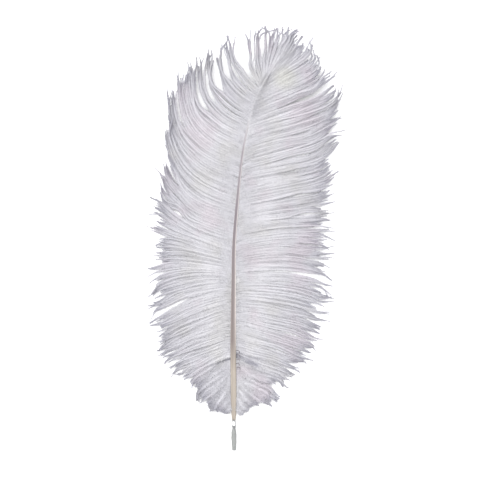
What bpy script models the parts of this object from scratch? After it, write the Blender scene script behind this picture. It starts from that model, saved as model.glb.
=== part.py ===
"""An ostrich plume lying on its back, grooved side of the shaft up. Metres, +Z up.

The plume is one grown piece, so it is one object: a quill, the shaft that carries on from it, and the
locks of barbs on both sides, all joined. It is laid out in millimetres from the centre of the quill's
cut end, +Y along the shaft and +X to the right as seen from above, and is then moved so that the
origin lies under the middle of its outline, on the surface it rests on.
"""

import math
import random

import bmesh
import bpy
from mathutils import Vector

MM = 0.001
SEED = 7

# Quill: the clear hollow end of the shaft. Rows are (distance up the shaft, width).
QUILL_END = 27.0
QUILL_WIDTHS = ((0.0, 2.9), (1.0, 3.3), (5.0, 3.45), (11.0, 3.4), (16.0, 2.9), (19.5, 2.3), (27.0, 2.3))
QUILL_ROWS = 10
QUILL_SIDES = 12

# Shaft: starts as a point inside the quill. Rows are (distance up, sideways place) and (distance up, width).
SHAFT_START = 18.5
SHAFT_END = 281.0
SHAFT_ROUTE = (
    (0.0, 0.0), (40.0, -0.3), (75.0, -0.6), (120.0, -0.3), (146.0, 0.1), (180.0, 2.8),
    (203.0, 5.2), (222.0, 8.2), (241.0, 12.7), (254.0, 18.0), (266.0, 25.3), (281.0, 36.5),
)
SHAFT_WIDTHS = (
    (18.5, 1.2), (23.0, 2.5), (28.0, 3.7), (34.0, 4.2), (48.0, 4.2), (80.0, 3.7),
    (130.0, 2.7), (200.0, 1.8), (245.0, 1.2), (281.0, 0.7),
)
SHAFT_ROWS = 36
SHAFT_GROOVE = ((-0.26, -0.42), (0.26, -0.42), (0.5, -0.10), (0.46, 0.24), (0.20, 0.42), (0.0, 0.24),
                (-0.20, 0.42), (-0.46, 0.24), (-0.5, -0.10))
SHAFT_FLOOR = 0.42          # depth of the flat back below the shaft's centreline, as a share of its width
SNAP_TO_REST = 0.06         # points of the back this near the resting surface are put on it

# The tip of the plume lifts off the surface and curls over.
LIFT_START = 150.0
TIP_LIFT = 21.0

# Locks: flattened, tapering strands. The section is given for a width of 1.
LOCK_SECTION = ((-0.5, 0.0), (0.0, -0.09), (0.5, 0.0), (0.0, 0.11))
LOCK_KEEL = 0.09            # depth below the lock's centreline, as a share of its width
LOCK_POINT = 0.11           # width of the lock's tip, as a share of its full width
LOCK_STEP = 10.5            # length of one straight stretch of a lock
LOCK_LEAST_ROWS = 4
LEAVE_HANDLE = 0.42         # length of the curve's handle at a lock's root, as a share of the lock's reach
END_HANDLE = 0.33           # and of the handle at its tip
TAPER_TURN = 2.6            # the larger, the further along its length a lock keeps its width
TAPER_POINT = 0.9           # the smaller, the blunter its point
BELLY_AT = 0.45             # where along its length a lock lies lowest
REST_GAP = 0.02             # what a lock's keel keeps off the resting surface
ROOT_BURIED = 0.35          # how far past the shaft's centreline a lock starts, as a share of its width
LAYER_STEP = 0.7            # neighbouring locks lie this much higher and lower in turn
RAGGED = 3.5                # how far a lock's tip strays from the even outline, at most
RAGGED_RANGE = (-1.0, 0.6)  # a lock is more often short of that outline than past it
RAGGED_UP = 0.5             # how much of the stray also shifts the tip along the plume
LEAVE_STRAY = 2.0           # degrees
END_STRAY = 14.0            # degrees
FORK_AT = 0.5               # where along its length a lock's side point parts from it
FORK_ROWS = 4
FORK_WIDTH = 0.6            # width of the side point where it parts, as a share of the lock's width there
FORK_SPREAD = (0.45, 0.75)  # distance between the two points of a lock, as a share of its width
FORK_REACH = (0.84, 0.98)   # where the side point ends, as a share of the lock's length
FORK_LIFT = 1.2
FORK_CURVE = 1.4            # how late the side point swings out
DIRECTION_STEP = 0.01       # share of a lock's length over which its direction is read
WELD_DISTANCE = 0.00001     # metres; joins a strand's caps to its sides

# Barb flow. Each row is one place along the vane's edge: root up the shaft, leaving angle over the
# horizontal, tip x, tip y, end angle, belly height, tip height, width.
LEFT_FLOW = (
    (33.0, -58.0, -8.0, 25.8, -72.0, 1.2, 1.5, 7.0),
    (37.5, -50.0, -19.0, 26.8, -52.0, 1.6, 2.0, 9.0),
    (42.5, -42.0, -24.0, 33.0, -38.0, 1.6, 3.5, 10.0),
    (47.5, -36.0, -26.5, 39.5, -18.0, 1.4, 3.0, 10.0),
    (53.5, -36.0, -28.5, 34.0, -72.0, 1.4, 5.0, 10.0),
    (60.0, -34.0, -29.0, 37.0, -66.0, 1.2, 2.4, 12.0),
    (65.0, -32.0, -32.5, 46.0, -36.0, 1.2, 4.8, 12.0),
    (70.0, -22.0, -43.5, 50.5, -33.0, 1.2, 1.9, 14.5),
    (78.0, -20.0, -50.5, 57.0, -33.0, 1.2, 5.0, 14.5),
    (88.0, -20.0, -55.5, 64.5, -33.0, 1.2, 2.2, 14.5),
    (98.0, -20.0, -58.5, 72.5, -33.0, 1.2, 6.0, 14.5),
    (106.0, -19.0, -60.0, 80.0, -33.0, 1.2, 2.6, 14.5),
    (112.0, -13.0, -61.0, 88.0, -34.0, 1.2, 6.4, 14.5),
    (118.0, -4.0, -62.0, 98.5, -34.0, 1.2, 3.0, 14.5),
    (124.0, 3.0, -62.5, 110.5, -33.0, 1.2, 7.0, 14.5),
    (130.0, 8.0, -63.0, 123.5, -29.0, 1.2, 3.4, 14.5),
    (136.0, 14.0, -63.0, 137.5, -20.0, 1.2, 8.0, 14.5),
    (142.0, 20.0, -62.0, 152.5, -6.0, 1.2, 4.0, 14.5),
    (149.0, 26.0, -60.0, 169.0, 14.0, 1.3, 8.6, 14.5),
    (156.0, 29.0, -57.5, 186.0, 34.0, 1.4, 4.6, 14.5),
    (163.0, 31.0, -54.5, 203.0, 50.0, 1.5, 9.6, 14.5),
    (170.0, 32.0, -51.5, 217.5, 60.0, 1.7, 5.4, 14.5),
    (177.0, 32.0, -49.0, 230.5, 67.0, 1.9, 10.4, 14.5),
    (184.0, 31.0, -47.0, 242.5, 74.0, 2.2, 6.4, 14.5),
    (191.0, 30.0, -46.0, 253.5, 81.0, 2.6, 11.2, 14.5),
    (198.0, 29.0, -42.5, 263.5, 88.0, 3.0, 8.0, 14.5),
    (205.0, 29.0, -38.0, 270.0, 94.0, 3.4, 12.8, 15.5),
    (212.0, 28.0, -32.5, 274.5, 98.0, 4.0, 9.6, 15.5),
    (219.0, 26.0, -27.5, 277.5, 101.0, 4.6, 14.4, 15.5),
    (226.0, 24.0, -22.5, 280.5, 102.0, 5.2, 11.2, 15.5),
    (233.0, 25.0, -16.0, 284.5, 103.0, 6.0, 15.0, 15.5),
    (240.0, 28.0, -9.0, 288.5, 102.0, 7.4, 12.0, 15.5),
    (246.5, 33.0, -2.5, 293.5, 103.0, 8.8, 16.0, 13.5),
    (252.0, 39.0, 2.5, 294.5, 107.0, 10.2, 14.0, 9.0),
    (257.0, 50.0, 6.5, 296.0, 96.0, 12.0, 18.0, 9.0),
    (262.0, 60.0, 11.0, 297.5, 88.0, 14.0, 20.0, 9.0),
    (268.0, 66.0, 18.0, 298.5, 88.0, 16.0, 24.0, 8.0),
    (275.0, 72.0, 26.5, 299.0, 82.0, 19.0, 27.0, 8.0),
)
RIGHT_FLOW = (
    (32.5, -54.0, 11.0, 27.0, -60.0, 1.2, 1.5, 7.0),
    (38.0, -52.0, 22.0, 31.0, -34.0, 1.6, 2.5, 9.0),
    (43.5, -54.0, 30.0, 34.0, -48.0, 1.6, 3.5, 10.0),
    (49.0, -54.0, 29.5, 41.0, -24.0, 1.4, 3.2, 10.0),
    (55.0, -54.0, 28.5, 47.0, -14.0, 1.4, 4.8, 10.0),
    (61.0, -50.0, 36.0, 51.0, -18.0, 1.2, 2.4, 12.0),
    (66.5, -30.0, 42.5, 46.5, -36.0, 1.2, 5.0, 12.0),
    (71.5, -24.0, 47.5, 56.0, -27.0, 1.2, 2.4, 12.0),
    (78.0, -21.0, 54.5, 60.0, -26.0, 1.2, 5.6, 14.5),
    (85.0, -17.0, 60.5, 64.0, -25.0, 1.2, 2.6, 14.5),
    (94.0, -12.0, 65.5, 74.0, -25.0, 1.2, 6.0, 14.5),
    (101.0, -6.0, 67.5, 84.0, -25.0, 1.2, 3.0, 14.5),
    (108.0, -2.0, 69.5, 93.5, -26.0, 1.2, 6.4, 14.5),
    (116.0, 1.0, 70.5, 104.0, -26.0, 1.2, 3.2, 14.5),
    (123.0, 4.0, 71.5, 113.5, -24.0, 1.2, 7.0, 14.5),
    (131.0, 7.0, 72.5, 126.0, -18.0, 1.2, 3.6, 14.5),
    (146.0, 11.0, 73.0, 148.0, -8.0, 1.2, 8.0, 14.5),
    (161.0, 12.0, 74.0, 171.5, 10.0, 1.3, 4.8, 14.5),
    (176.0, 13.0, 75.0, 194.5, 28.0, 1.5, 9.6, 14.5),
    (191.0, 14.0, 76.0, 215.0, 40.0, 1.8, 6.4, 14.5),
    (205.0, 16.0, 77.5, 233.0, 45.0, 2.4, 11.2, 14.5),
    (218.0, 19.0, 79.0, 249.0, 50.0, 3.4, 9.6, 14.5),
    (230.0, 23.0, 76.0, 262.0, 58.0, 5.0, 16.0, 14.5),
    (240.0, 28.0, 68.0, 273.0, 64.0, 7.0, 14.4, 13.5),
    (249.0, 34.0, 60.5, 282.5, 70.0, 9.5, 16.0, 12.5),
    (257.0, 40.0, 54.0, 290.0, 72.0, 12.5, 18.0, 11.0),
    (265.0, 48.0, 45.5, 295.0, 72.0, 15.5, 22.0, 9.5),
    (273.0, 58.0, 36.5, 298.5, 76.0, 18.5, 26.0, 8.0),
)
LOCKS_A_SIDE = 29

WHITE_BARB = (0.80, 0.79, 0.83, 1.0)
BARB_ROUGHNESS = 0.75


def smooth(rows, at):
    """The value at a distance, on a smooth curve through rows of (distance, value)."""
    last = len(rows) - 2
    i = max(0, min(last, sum(at >= row[0] for row in rows) - 1))
    (x0, y0), (x1, y1) = rows[i], rows[i + 1]
    before = rows[max(i - 1, 0)]
    after = rows[min(i + 2, len(rows) - 1)]
    span = x1 - x0
    slope0 = (y1 - before[1]) / (x1 - before[0]) * span
    slope1 = (after[1] - y0) / (after[0] - x0) * span
    t = min(max((at - x0) / span, 0.0), 1.0)
    rise = t * t * (3.0 - 2.0 * t)
    return y0 + (y1 - y0) * rise + slope0 * t * (1.0 - t) ** 2 - slope1 * t * t * (1.0 - t)


def ease(t):
    """0 to 1 with a level start and end."""
    t = min(max(t, 0.0), 1.0)
    return t * t * (3.0 - 2.0 * t)


def shaft_width(up):
    """Width of the shaft at a distance up it; inside the quill it is the start's."""
    return smooth(SHAFT_WIDTHS, max(up, SHAFT_START))


def shaft_lift(up):
    """How far the shaft's back stands off the surface."""
    over = max(up - LIFT_START, 0.0) / (SHAFT_END - LIFT_START)
    return TIP_LIFT * over * over


def shaft_centre(up):
    """The shaft's centreline: its back rests on the surface until the tip lifts."""
    return Vector((smooth(SHAFT_ROUTE, up), up, SHAFT_FLOOR * shaft_width(up) + shaft_lift(up)))


def flow_at(flow, share):
    """One row of barb flow, at a share of the way round the vane's edge from its base to its tip."""
    tips = [Vector(row[2:4]) for row in flow]
    steps = [(high - low).length for low, high in zip(tips, tips[1:])]
    left = share * sum(steps)
    i = 0
    while i < len(steps) - 1 and left > steps[i]:
        left -= steps[i]
        i += 1
    part = min(left / steps[i], 1.0)
    return [low + (high - low) * part for low, high in zip(flow[i], flow[i + 1])]


class Lock:
    """One lock of barbs: a curved, tapering strand from inside the shaft to its tip, and a side point."""

    def __init__(self, flow_row, side, layer, chance):
        up, leave, tip_x, tip_y, end, self.belly, self.tip_rise, self.width = flow_row
        leave = math.radians(leave + chance.uniform(-LEAVE_STRAY, LEAVE_STRAY))
        end = math.radians(end + chance.uniform(-END_STRAY, END_STRAY))
        stray = RAGGED * chance.uniform(*RAGGED_RANGE)
        self.side = side
        self.layer = layer
        self.centre = shaft_centre(up)
        root = self.centre - Vector((side * ROOT_BURIED * shaft_width(up), 0.0, 0.0))
        tip = Vector((tip_x + side * stray, tip_y + RAGGED_UP * stray, 0.0))
        self.reach = (tip - root).xy.length
        out = Vector((side * math.cos(leave), math.sin(leave), 0.0))
        inward = Vector((-side * math.cos(end), -math.sin(end), 0.0))
        leaving = root + out * self.reach * LEAVE_HANDLE
        ending = tip + inward * self.reach * END_HANDLE
        self.handles = (root, leaving, ending, tip)
        self.fork_spread = self.width * chance.uniform(*FORK_SPREAD)
        self.fork_reach = chance.uniform(*FORK_REACH)

    def full_width(self, t):
        """Width of the lock at a share of its length."""
        taper = (1.0 - t ** TAPER_TURN) ** TAPER_POINT
        return self.width * (LOCK_POINT + (1.0 - LOCK_POINT) * taper)

    def flat(self, t):
        """Place of the lock's centreline seen from above."""
        weights = ((1 - t) ** 3, 3 * t * (1 - t) ** 2, 3 * t * t * (1 - t), t ** 3)
        return sum((handle * weight for handle, weight in zip(self.handles, weights)), Vector()).xy

    def height(self, t, width):
        """The lock sinks from the shaft to its belly, which rests, and its tip rises again."""
        floor = LOCK_KEEL * width + REST_GAP
        low = max(self.belly + self.layer, floor)
        height = self.centre.z + (low - self.centre.z) * ease(t / BELLY_AT)
        height += (self.tip_rise - low) * (max(t - BELLY_AT, 0.0) / (1.0 - BELLY_AT)) ** 2
        return max(height, floor)

    def path(self):
        """Points and widths along the lock."""
        rows = max(LOCK_LEAST_ROWS, round(self.reach / LOCK_STEP))
        points = []
        for step in range(rows + 1):
            t = step / rows
            width = self.full_width(t)
            points.append((Vector((*self.flat(t), self.height(t, width))), width))
        return points

    def fork_path(self):
        """Points and widths along the side point, which parts from the lock beyond its middle."""
        points = []
        for step in range(FORK_ROWS + 1):
            part = step / FORK_ROWS
            t = FORK_AT + (self.fork_reach - FORK_AT) * part
            along = self.flat(t + DIRECTION_STEP) - self.flat(t - DIRECTION_STEP)
            across = Vector((-along.y, along.x)).normalized() * self.side
            place = self.flat(t) + across * self.fork_spread * part ** FORK_CURVE
            width = self.full_width(FORK_AT) * (FORK_WIDTH * (1.0 - part) + LOCK_POINT)
            points.append((Vector((*place, self.height(t, width) + FORK_LIFT * part)), width))
        return points


def section_curve(name, corners, helpers):
    """A closed outline, used as the cross-section of a strand."""
    data = bpy.data.curves.new(name, "CURVE")
    data.dimensions = "2D"
    spline = data.splines.new("POLY")
    spline.points.add(len(corners) - 1)
    for point, (across, height) in zip(spline.points, corners):
        point.co = (across * MM, height * MM, 0.0, 1.0)
    spline.use_cyclic_u = True
    outline = bpy.data.objects.new(name, data)
    helpers.objects.link(outline)
    outline.hide_render = True
    return outline


def strand(name, points, section, collection):
    """A closed mesh swept along points of (place, width), its section level across."""
    data = bpy.data.curves.new(name, "CURVE")
    data.dimensions = "3D"
    data.twist_mode = "Z_UP"
    data.bevel_mode = "OBJECT"
    data.bevel_object = section
    data.use_fill_caps = True
    spline = data.splines.new("POLY")
    spline.points.add(len(points) - 1)
    for point, (place, width) in zip(spline.points, points):
        point.co = (*(place * MM), 1.0)
        point.radius = width
    guide = bpy.data.objects.new(name + "_guide", data)
    collection.objects.link(guide)
    bpy.context.view_layer.update()
    evaluated = guide.evaluated_get(bpy.context.evaluated_depsgraph_get())
    mesh = bpy.data.meshes.new_from_object(evaluated)
    cage = bmesh.new()
    cage.from_mesh(mesh)
    bmesh.ops.remove_doubles(cage, verts=cage.verts, dist=WELD_DISTANCE)
    bmesh.ops.recalc_face_normals(cage, faces=cage.faces)
    cage.to_mesh(mesh)
    cage.free()
    piece = bpy.data.objects.new(name, mesh)
    collection.objects.link(piece)
    piece.matrix_world = guide.matrix_world
    bpy.data.objects.remove(guide)
    return piece


def make_shaft(collection, helpers):
    """The shaft: a flat back, rounded sides and a groove along the upper face."""
    section = section_curve("shaft_section", SHAFT_GROOVE, helpers)
    points = []
    for row in range(SHAFT_ROWS + 1):
        up = SHAFT_START + (SHAFT_END - SHAFT_START) * row / SHAFT_ROWS
        points.append((shaft_centre(up), shaft_width(up)))
    shaft = strand("feather", points, section, collection)
    for vertex in shaft.data.vertices:
        if vertex.co.z < SNAP_TO_REST * MM:
            vertex.co.z = 0.0
    return shaft


def make_quill(helpers):
    """The quill: a round tube that swells a little and narrows to a waist at the shaft's start."""
    corners = []
    for side in range(QUILL_SIDES):
        turn = math.tau * (side + 0.5) / QUILL_SIDES
        corners.append((0.5 * math.cos(turn), 0.5 * math.sin(turn)))
    section = section_curve("quill_section", corners, helpers)
    middle = 0.5 * max(width for _, width in QUILL_WIDTHS)
    points = []
    for row in range(QUILL_ROWS + 1):
        up = QUILL_END * row / QUILL_ROWS
        points.append((Vector((smooth(SHAFT_ROUTE, up), up, middle)), smooth(QUILL_WIDTHS, up)))
    return strand("quill", points, section, helpers)


def make_locks(name, flow, side, helpers, chance):
    """The locks of one vane."""
    section = section_curve(name + "_section", LOCK_SECTION, helpers)
    for number in range(LOCKS_A_SIDE):
        share = number / (LOCKS_A_SIDE - 1)
        layer = LAYER_STEP * (0.5 - number % 2)
        lock = Lock(flow_at(flow, share), side, layer, chance)
        strand(f"{name}_{number:02d}", lock.path(), section, helpers)
        strand(f"{name}_{number:02d}_fork", lock.fork_path(), section, helpers)


def make_material():
    """The barbs' white, matt finish."""
    material = bpy.data.materials.new("white_barbs")
    material.use_nodes = True
    shader = material.node_tree.nodes["Principled BSDF"]
    shader.inputs["Base Color"].default_value = WHITE_BARB
    shader.inputs["Roughness"].default_value = BARB_ROUGHNESS
    shader.inputs["Metallic"].default_value = 0.0
    return material


def centre_over_origin(datum, feather):
    """Moves everything so that the origin is under the middle of the feather's outline."""
    bpy.context.view_layer.update()
    evaluated = feather.evaluated_get(bpy.context.evaluated_depsgraph_get())
    places = [evaluated.matrix_world @ vertex.co for vertex in evaluated.data.vertices]
    lowest = Vector([min(place[axis] for place in places) for axis in range(3)])
    highest = Vector([max(place[axis] for place in places) for axis in range(3)])
    middle = (lowest + highest) / 2.0
    datum.location = (-middle.x, -middle.y, -lowest.z)


def main():
    """Makes the shaft, joins the quill and every lock to it, and sets it over the origin."""
    for thing in list(bpy.data.objects):
        bpy.data.objects.remove(thing)
    scene = bpy.context.scene
    parts = bpy.data.collections.new("ostrich_feather")
    helpers = bpy.data.collections.new("locks_and_sections")
    scene.collection.children.link(parts)
    scene.collection.children.link(helpers)
    chance = random.Random(SEED)

    feather = make_shaft(parts, helpers)
    make_quill(helpers)
    make_locks("left", LEFT_FLOW, -1, helpers, chance)
    make_locks("right", RIGHT_FLOW, 1, helpers, chance)

    joined = bpy.data.collections.new("joined_to_shaft")
    helpers.children.link(joined)
    for piece in list(helpers.objects):
        piece.hide_render = True
        piece.display_type = "WIRE"
        if piece.type == "MESH":
            joined.objects.link(piece)
            helpers.objects.unlink(piece)
    union = feather.modifiers.new("locks and quill", "BOOLEAN")
    union.operation = "UNION"
    union.solver = "EXACT"
    union.operand_type = "COLLECTION"
    union.collection = joined

    datum = bpy.data.objects.new("datum", None)
    parts.objects.link(datum)
    feather.parent = datum
    for piece in joined.objects:
        piece.parent = datum
    feather.data.materials.append(make_material())
    centre_over_origin(datum, feather)


main()
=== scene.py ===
"""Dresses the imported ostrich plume: barbs with their down, grooved shaft and clear quill.

Everything is laid out in millimetres from the centre of the quill's cut end, +Y up the shaft, and is
moved into the frame's metres by Layout. The barbs follow the flow that the photo shows, which is close to
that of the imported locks.
"""

from __future__ import annotations

import logging
import math
from dataclasses import dataclass, field
from enum import Enum

import bpy
import numpy as np
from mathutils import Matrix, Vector


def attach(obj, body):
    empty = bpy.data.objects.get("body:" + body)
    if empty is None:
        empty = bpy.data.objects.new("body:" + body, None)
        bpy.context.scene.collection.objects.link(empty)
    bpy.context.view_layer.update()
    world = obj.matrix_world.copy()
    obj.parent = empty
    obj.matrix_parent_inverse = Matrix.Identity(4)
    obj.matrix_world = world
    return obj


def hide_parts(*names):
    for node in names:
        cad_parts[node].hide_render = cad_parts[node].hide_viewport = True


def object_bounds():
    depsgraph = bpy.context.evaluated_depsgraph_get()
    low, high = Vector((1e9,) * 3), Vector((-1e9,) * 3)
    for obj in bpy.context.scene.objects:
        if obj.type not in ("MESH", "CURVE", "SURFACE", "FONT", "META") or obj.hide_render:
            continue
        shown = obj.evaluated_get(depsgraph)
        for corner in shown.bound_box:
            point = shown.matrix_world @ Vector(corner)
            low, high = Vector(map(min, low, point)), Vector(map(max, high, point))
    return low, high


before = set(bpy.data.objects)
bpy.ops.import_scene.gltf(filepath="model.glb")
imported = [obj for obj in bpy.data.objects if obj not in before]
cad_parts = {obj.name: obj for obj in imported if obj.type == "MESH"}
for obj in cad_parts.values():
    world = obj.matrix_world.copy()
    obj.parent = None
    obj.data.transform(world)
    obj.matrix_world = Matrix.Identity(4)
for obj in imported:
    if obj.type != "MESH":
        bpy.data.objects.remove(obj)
CAD_LOW, CAD_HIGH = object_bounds()

LOG = logging.getLogger("plume")
NODE = "feather"
BODY = "root"
MM = 0.001
PHOTO_PIXELS = 500
MM_A_PIXEL = 0.705
WHITE = "#FFFFFF"
BLACK = "#000000"

# Blender's noise mostly stays between these values.
NOISE_SPAN = {"From Min": 0.3, "From Max": 0.7}

# The barbs' flow, measured in the photo, but for the heights, which are guessed. Each row is one place along
# a vane's edge, in millimetres and in degrees over the horizontal: root up the shaft, angle at which the barb
# leaves it, tip x, tip y, angle at the tip, height of the barb's lowest place, tip height.
LEFT_FLOW = (
    (33.0, -66.0, -4.5, 26.4, -72.0, 1.0, 1.5),
    (38.5, -64.0, -8.0, 25.2, -66.0, 1.4, 2.0),
    (44.0, -58.0, -13.5, 28.2, -52.0, 1.6, 2.4),
    (49.0, -54.0, -19.0, 26.8, -52.0, 1.6, 3.0),
    (53.0, -48.0, -24.0, 33.0, -40.0, 1.5, 3.5),
    (56.5, -44.0, -26.5, 39.5, -30.0, 1.4, 3.0),
    (59.5, -42.0, -28.5, 34.0, -68.0, 1.4, 4.6),
    (63.0, -38.0, -29.0, 39.0, -50.0, 1.2, 2.6),
    (66.5, -33.0, -34.5, 46.5, -36.0, 1.2, 4.4),
    (71.0, -25.0, -42.5, 50.0, -33.0, 1.2, 2.2),
    (78.0, -20.0, -50.5, 57.0, -33.0, 1.2, 5.0),
    (88.0, -20.0, -55.5, 64.5, -33.0, 1.2, 2.2),
    (98.0, -20.0, -58.5, 72.5, -33.0, 1.2, 6.0),
    (106.0, -17.0, -60.0, 80.5, -33.0, 1.2, 2.6),
    (112.0, -9.0, -61.0, 89.0, -34.0, 1.2, 6.4),
    (118.0, 1.0, -62.0, 101.0, -33.0, 1.2, 3.0),
    (124.0, 6.0, -62.5, 116.0, -27.0, 1.2, 7.0),
    (130.0, 9.0, -63.0, 132.0, -16.0, 1.2, 3.4),
    (136.0, 11.0, -62.5, 147.5, -2.0, 1.2, 8.0),
    (142.0, 12.0, -61.0, 163.0, 14.0, 1.2, 4.0),
    (149.0, 13.0, -58.5, 181.0, 34.0, 1.3, 8.6),
    (156.0, 13.0, -56.0, 196.0, 50.0, 1.4, 4.6),
    (163.0, 13.0, -53.5, 208.5, 60.0, 1.5, 9.6),
    (170.0, 13.0, -51.0, 220.5, 68.0, 1.7, 5.4),
    (177.0, 13.0, -49.0, 232.0, 75.0, 1.9, 10.4),
    (184.0, 13.0, -47.0, 243.0, 82.0, 2.2, 6.4),
    (191.0, 13.0, -46.0, 253.5, 88.0, 2.6, 11.2),
    (198.0, 13.0, -42.5, 263.5, 92.0, 3.0, 8.0),
    (205.0, 13.0, -38.0, 270.0, 96.0, 3.4, 12.8),
    (212.0, 14.0, -32.5, 274.5, 99.0, 4.0, 9.6),
    (219.0, 15.0, -27.5, 277.5, 101.0, 4.6, 14.4),
    (226.0, 17.0, -22.5, 280.5, 102.0, 5.2, 11.2),
    (233.0, 20.0, -16.0, 284.5, 103.0, 6.0, 15.0),
    (240.0, 25.0, -9.0, 288.5, 102.0, 7.4, 12.0),
    (246.5, 33.0, -3.0, 292.5, 104.0, 9.4, 15.0),
    (252.0, 40.0, 2.8, 294.1, 108.0, 11.0, 14.0),
    (257.0, 56.0, 9.0, 295.2, 74.0, 13.0, 17.0),
    (260.5, 60.0, 13.0, 297.3, 84.0, 14.6, 19.0),
    (263.0, 62.0, 17.5, 297.8, 96.0, 15.6, 20.0),
    (267.0, 66.0, 22.0, 299.2, 92.0, 17.0, 21.5),
    (271.0, 70.0, 26.5, 298.4, 86.0, 18.2, 23.0),
    (276.0, 74.0, 33.0, 299.3, 82.0, 19.5, 24.5),
    (281.0, 78.0, 38.0, 299.6, 78.0, 20.5, 25.5),
)
RIGHT_FLOW = (
    (33.0, -62.0, 5.5, 25.8, -70.0, 1.0, 1.5),
    (39.0, -60.0, 10.8, 27.0, -44.0, 1.4, 2.0),
    (45.0, -58.0, 16.5, 30.5, -46.0, 1.6, 2.5),
    (49.5, -57.0, 22.0, 31.5, -34.0, 1.6, 3.2),
    (54.0, -56.0, 27.0, 36.0, -42.0, 1.5, 3.5),
    (57.5, -55.0, 30.0, 34.0, -60.0, 1.4, 4.8),
    (60.5, -54.0, 29.0, 41.5, -24.0, 1.4, 3.0),
    (64.0, -50.0, 35.5, 50.5, -18.0, 1.2, 2.4),
    (67.4, -42.0, 42.0, 46.5, -32.0, 1.2, 4.6),
    (71.5, -25.0, 47.5, 56.0, -27.0, 1.2, 2.4),
    (78.0, -21.0, 54.5, 60.0, -26.0, 1.2, 5.6),
    (85.0, -17.0, 60.5, 64.0, -25.0, 1.2, 2.6),
    (94.0, -12.0, 65.5, 74.0, -25.0, 1.2, 6.0),
    (101.0, -6.0, 67.5, 84.0, -25.0, 1.2, 3.0),
    (108.0, -2.0, 69.5, 93.5, -26.0, 1.2, 6.4),
    (116.0, 1.0, 70.5, 104.0, -26.0, 1.2, 3.2),
    (123.0, 4.0, 71.5, 113.5, -24.0, 1.2, 7.0),
    (131.0, 7.0, 72.5, 126.0, -18.0, 1.2, 3.6),
    (146.0, 11.0, 73.0, 148.0, -8.0, 1.2, 8.0),
    (161.0, 12.0, 74.0, 171.5, 10.0, 1.3, 4.8),
    (176.0, 13.0, 75.0, 194.5, 28.0, 1.5, 9.6),
    (191.0, 14.0, 76.0, 215.0, 40.0, 1.8, 6.4),
    (205.0, 16.0, 77.5, 233.0, 45.0, 2.4, 11.2),
    (218.0, 19.0, 79.0, 249.0, 50.0, 3.4, 9.6),
    (230.0, 23.0, 76.0, 262.0, 58.0, 5.6, 14.0),
    (240.0, 28.0, 68.0, 273.0, 64.0, 8.4, 14.4),
    (249.0, 34.0, 60.5, 282.5, 70.0, 11.4, 16.0),
    (257.0, 40.0, 54.0, 290.0, 72.0, 14.4, 18.0),
    (265.0, 48.0, 46.5, 294.0, 74.0, 17.2, 21.0),
    (273.0, 58.0, 42.0, 297.5, 78.0, 19.4, 23.5),
    (281.0, 70.0, 38.5, 299.6, 80.0, 20.5, 25.5),
)

# Columns of the flow as smooth gives them back, without the first one.
LEAVE, END, BELLY, RISE = 0, 3, 4, 5
TIP = slice(1, 3)


class Side(Enum):
    """The two vanes, with the direction in which each one's barbs point along X."""

    LEFT = -1
    RIGHT = 1


class Slot(Enum):
    """The record's material slots."""

    BARBS = "barbs"
    SHAFT = "shaft"


def linear(hex_colour: str) -> tuple[float, float, float, float]:
    """Turns an sRGB hex colour into a linear one.

    Args:
        hex_colour: Such as "#E9E8EE".

    Returns:
        Linear red, green, blue and an alpha of 1.
    """
    shares = [int(hex_colour[i : i + 2], 16) / 255.0 for i in (1, 3, 5)]
    made = [s / 12.92 if s <= 0.04045 else ((s + 0.055) / 1.055) ** 2.4 for s in shares]
    return (made[0], made[1], made[2], 1.0)


def wire(
    tree: bpy.types.NodeTree,
    node: bpy.types.Node,
    settings: dict[str, object] | None,
    links: dict[str, bpy.types.NodeSocket] | None,
) -> None:
    """Gives a node its settings and links.

    Args:
        tree: The material's node tree.
        node: The node.
        settings: Values by the name or number of an input socket, or else by property name.
        links: Output sockets by the name or number of the input that each one feeds.
    """
    for name, value in (settings or {}).items():
        if name.isdigit() or name in node.inputs:
            node.inputs[int(name) if name.isdigit() else name].default_value = value
        else:
            setattr(node, name, value)
    for name, output in (links or {}).items():
        tree.links.new(output, node.inputs[int(name) if name.isdigit() else name])


def add_node(
    tree: bpy.types.NodeTree,
    kind: str,
    settings: dict[str, object] | None = None,
    links: dict[str, bpy.types.NodeSocket] | None = None,
) -> bpy.types.Node:
    """Adds one node with its settings and links.

    Args:
        tree: The material's node tree.
        kind: The node's type name.
        settings: As for wire.
        links: As for wire.

    Returns:
        The new node.
    """
    node = tree.nodes.new(kind)
    wire(tree, node, settings, links)
    return node


def set_ramp(node: bpy.types.Node, stops: tuple[tuple[float, str], ...]) -> None:
    """Lays out a colour ramp.

    Args:
        node: The colour ramp node.
        stops: Place and sRGB hex colour of each stop, in order.
    """
    elements = node.color_ramp.elements
    while len(elements) < len(stops):
        elements.new(1.0)
    for element, (place, colour) in zip(elements, stops):
        element.position = place
        element.color = linear(colour)


def new_material(name: str) -> tuple[bpy.types.Material, bpy.types.Node]:
    """Makes a material with only a Principled shader and its output.

    Args:
        name: The material's name.

    Returns:
        The material and its shader node.
    """
    material = bpy.data.materials.new(name)
    material.use_nodes = True
    return material, material.node_tree.nodes["Principled BSDF"]


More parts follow.
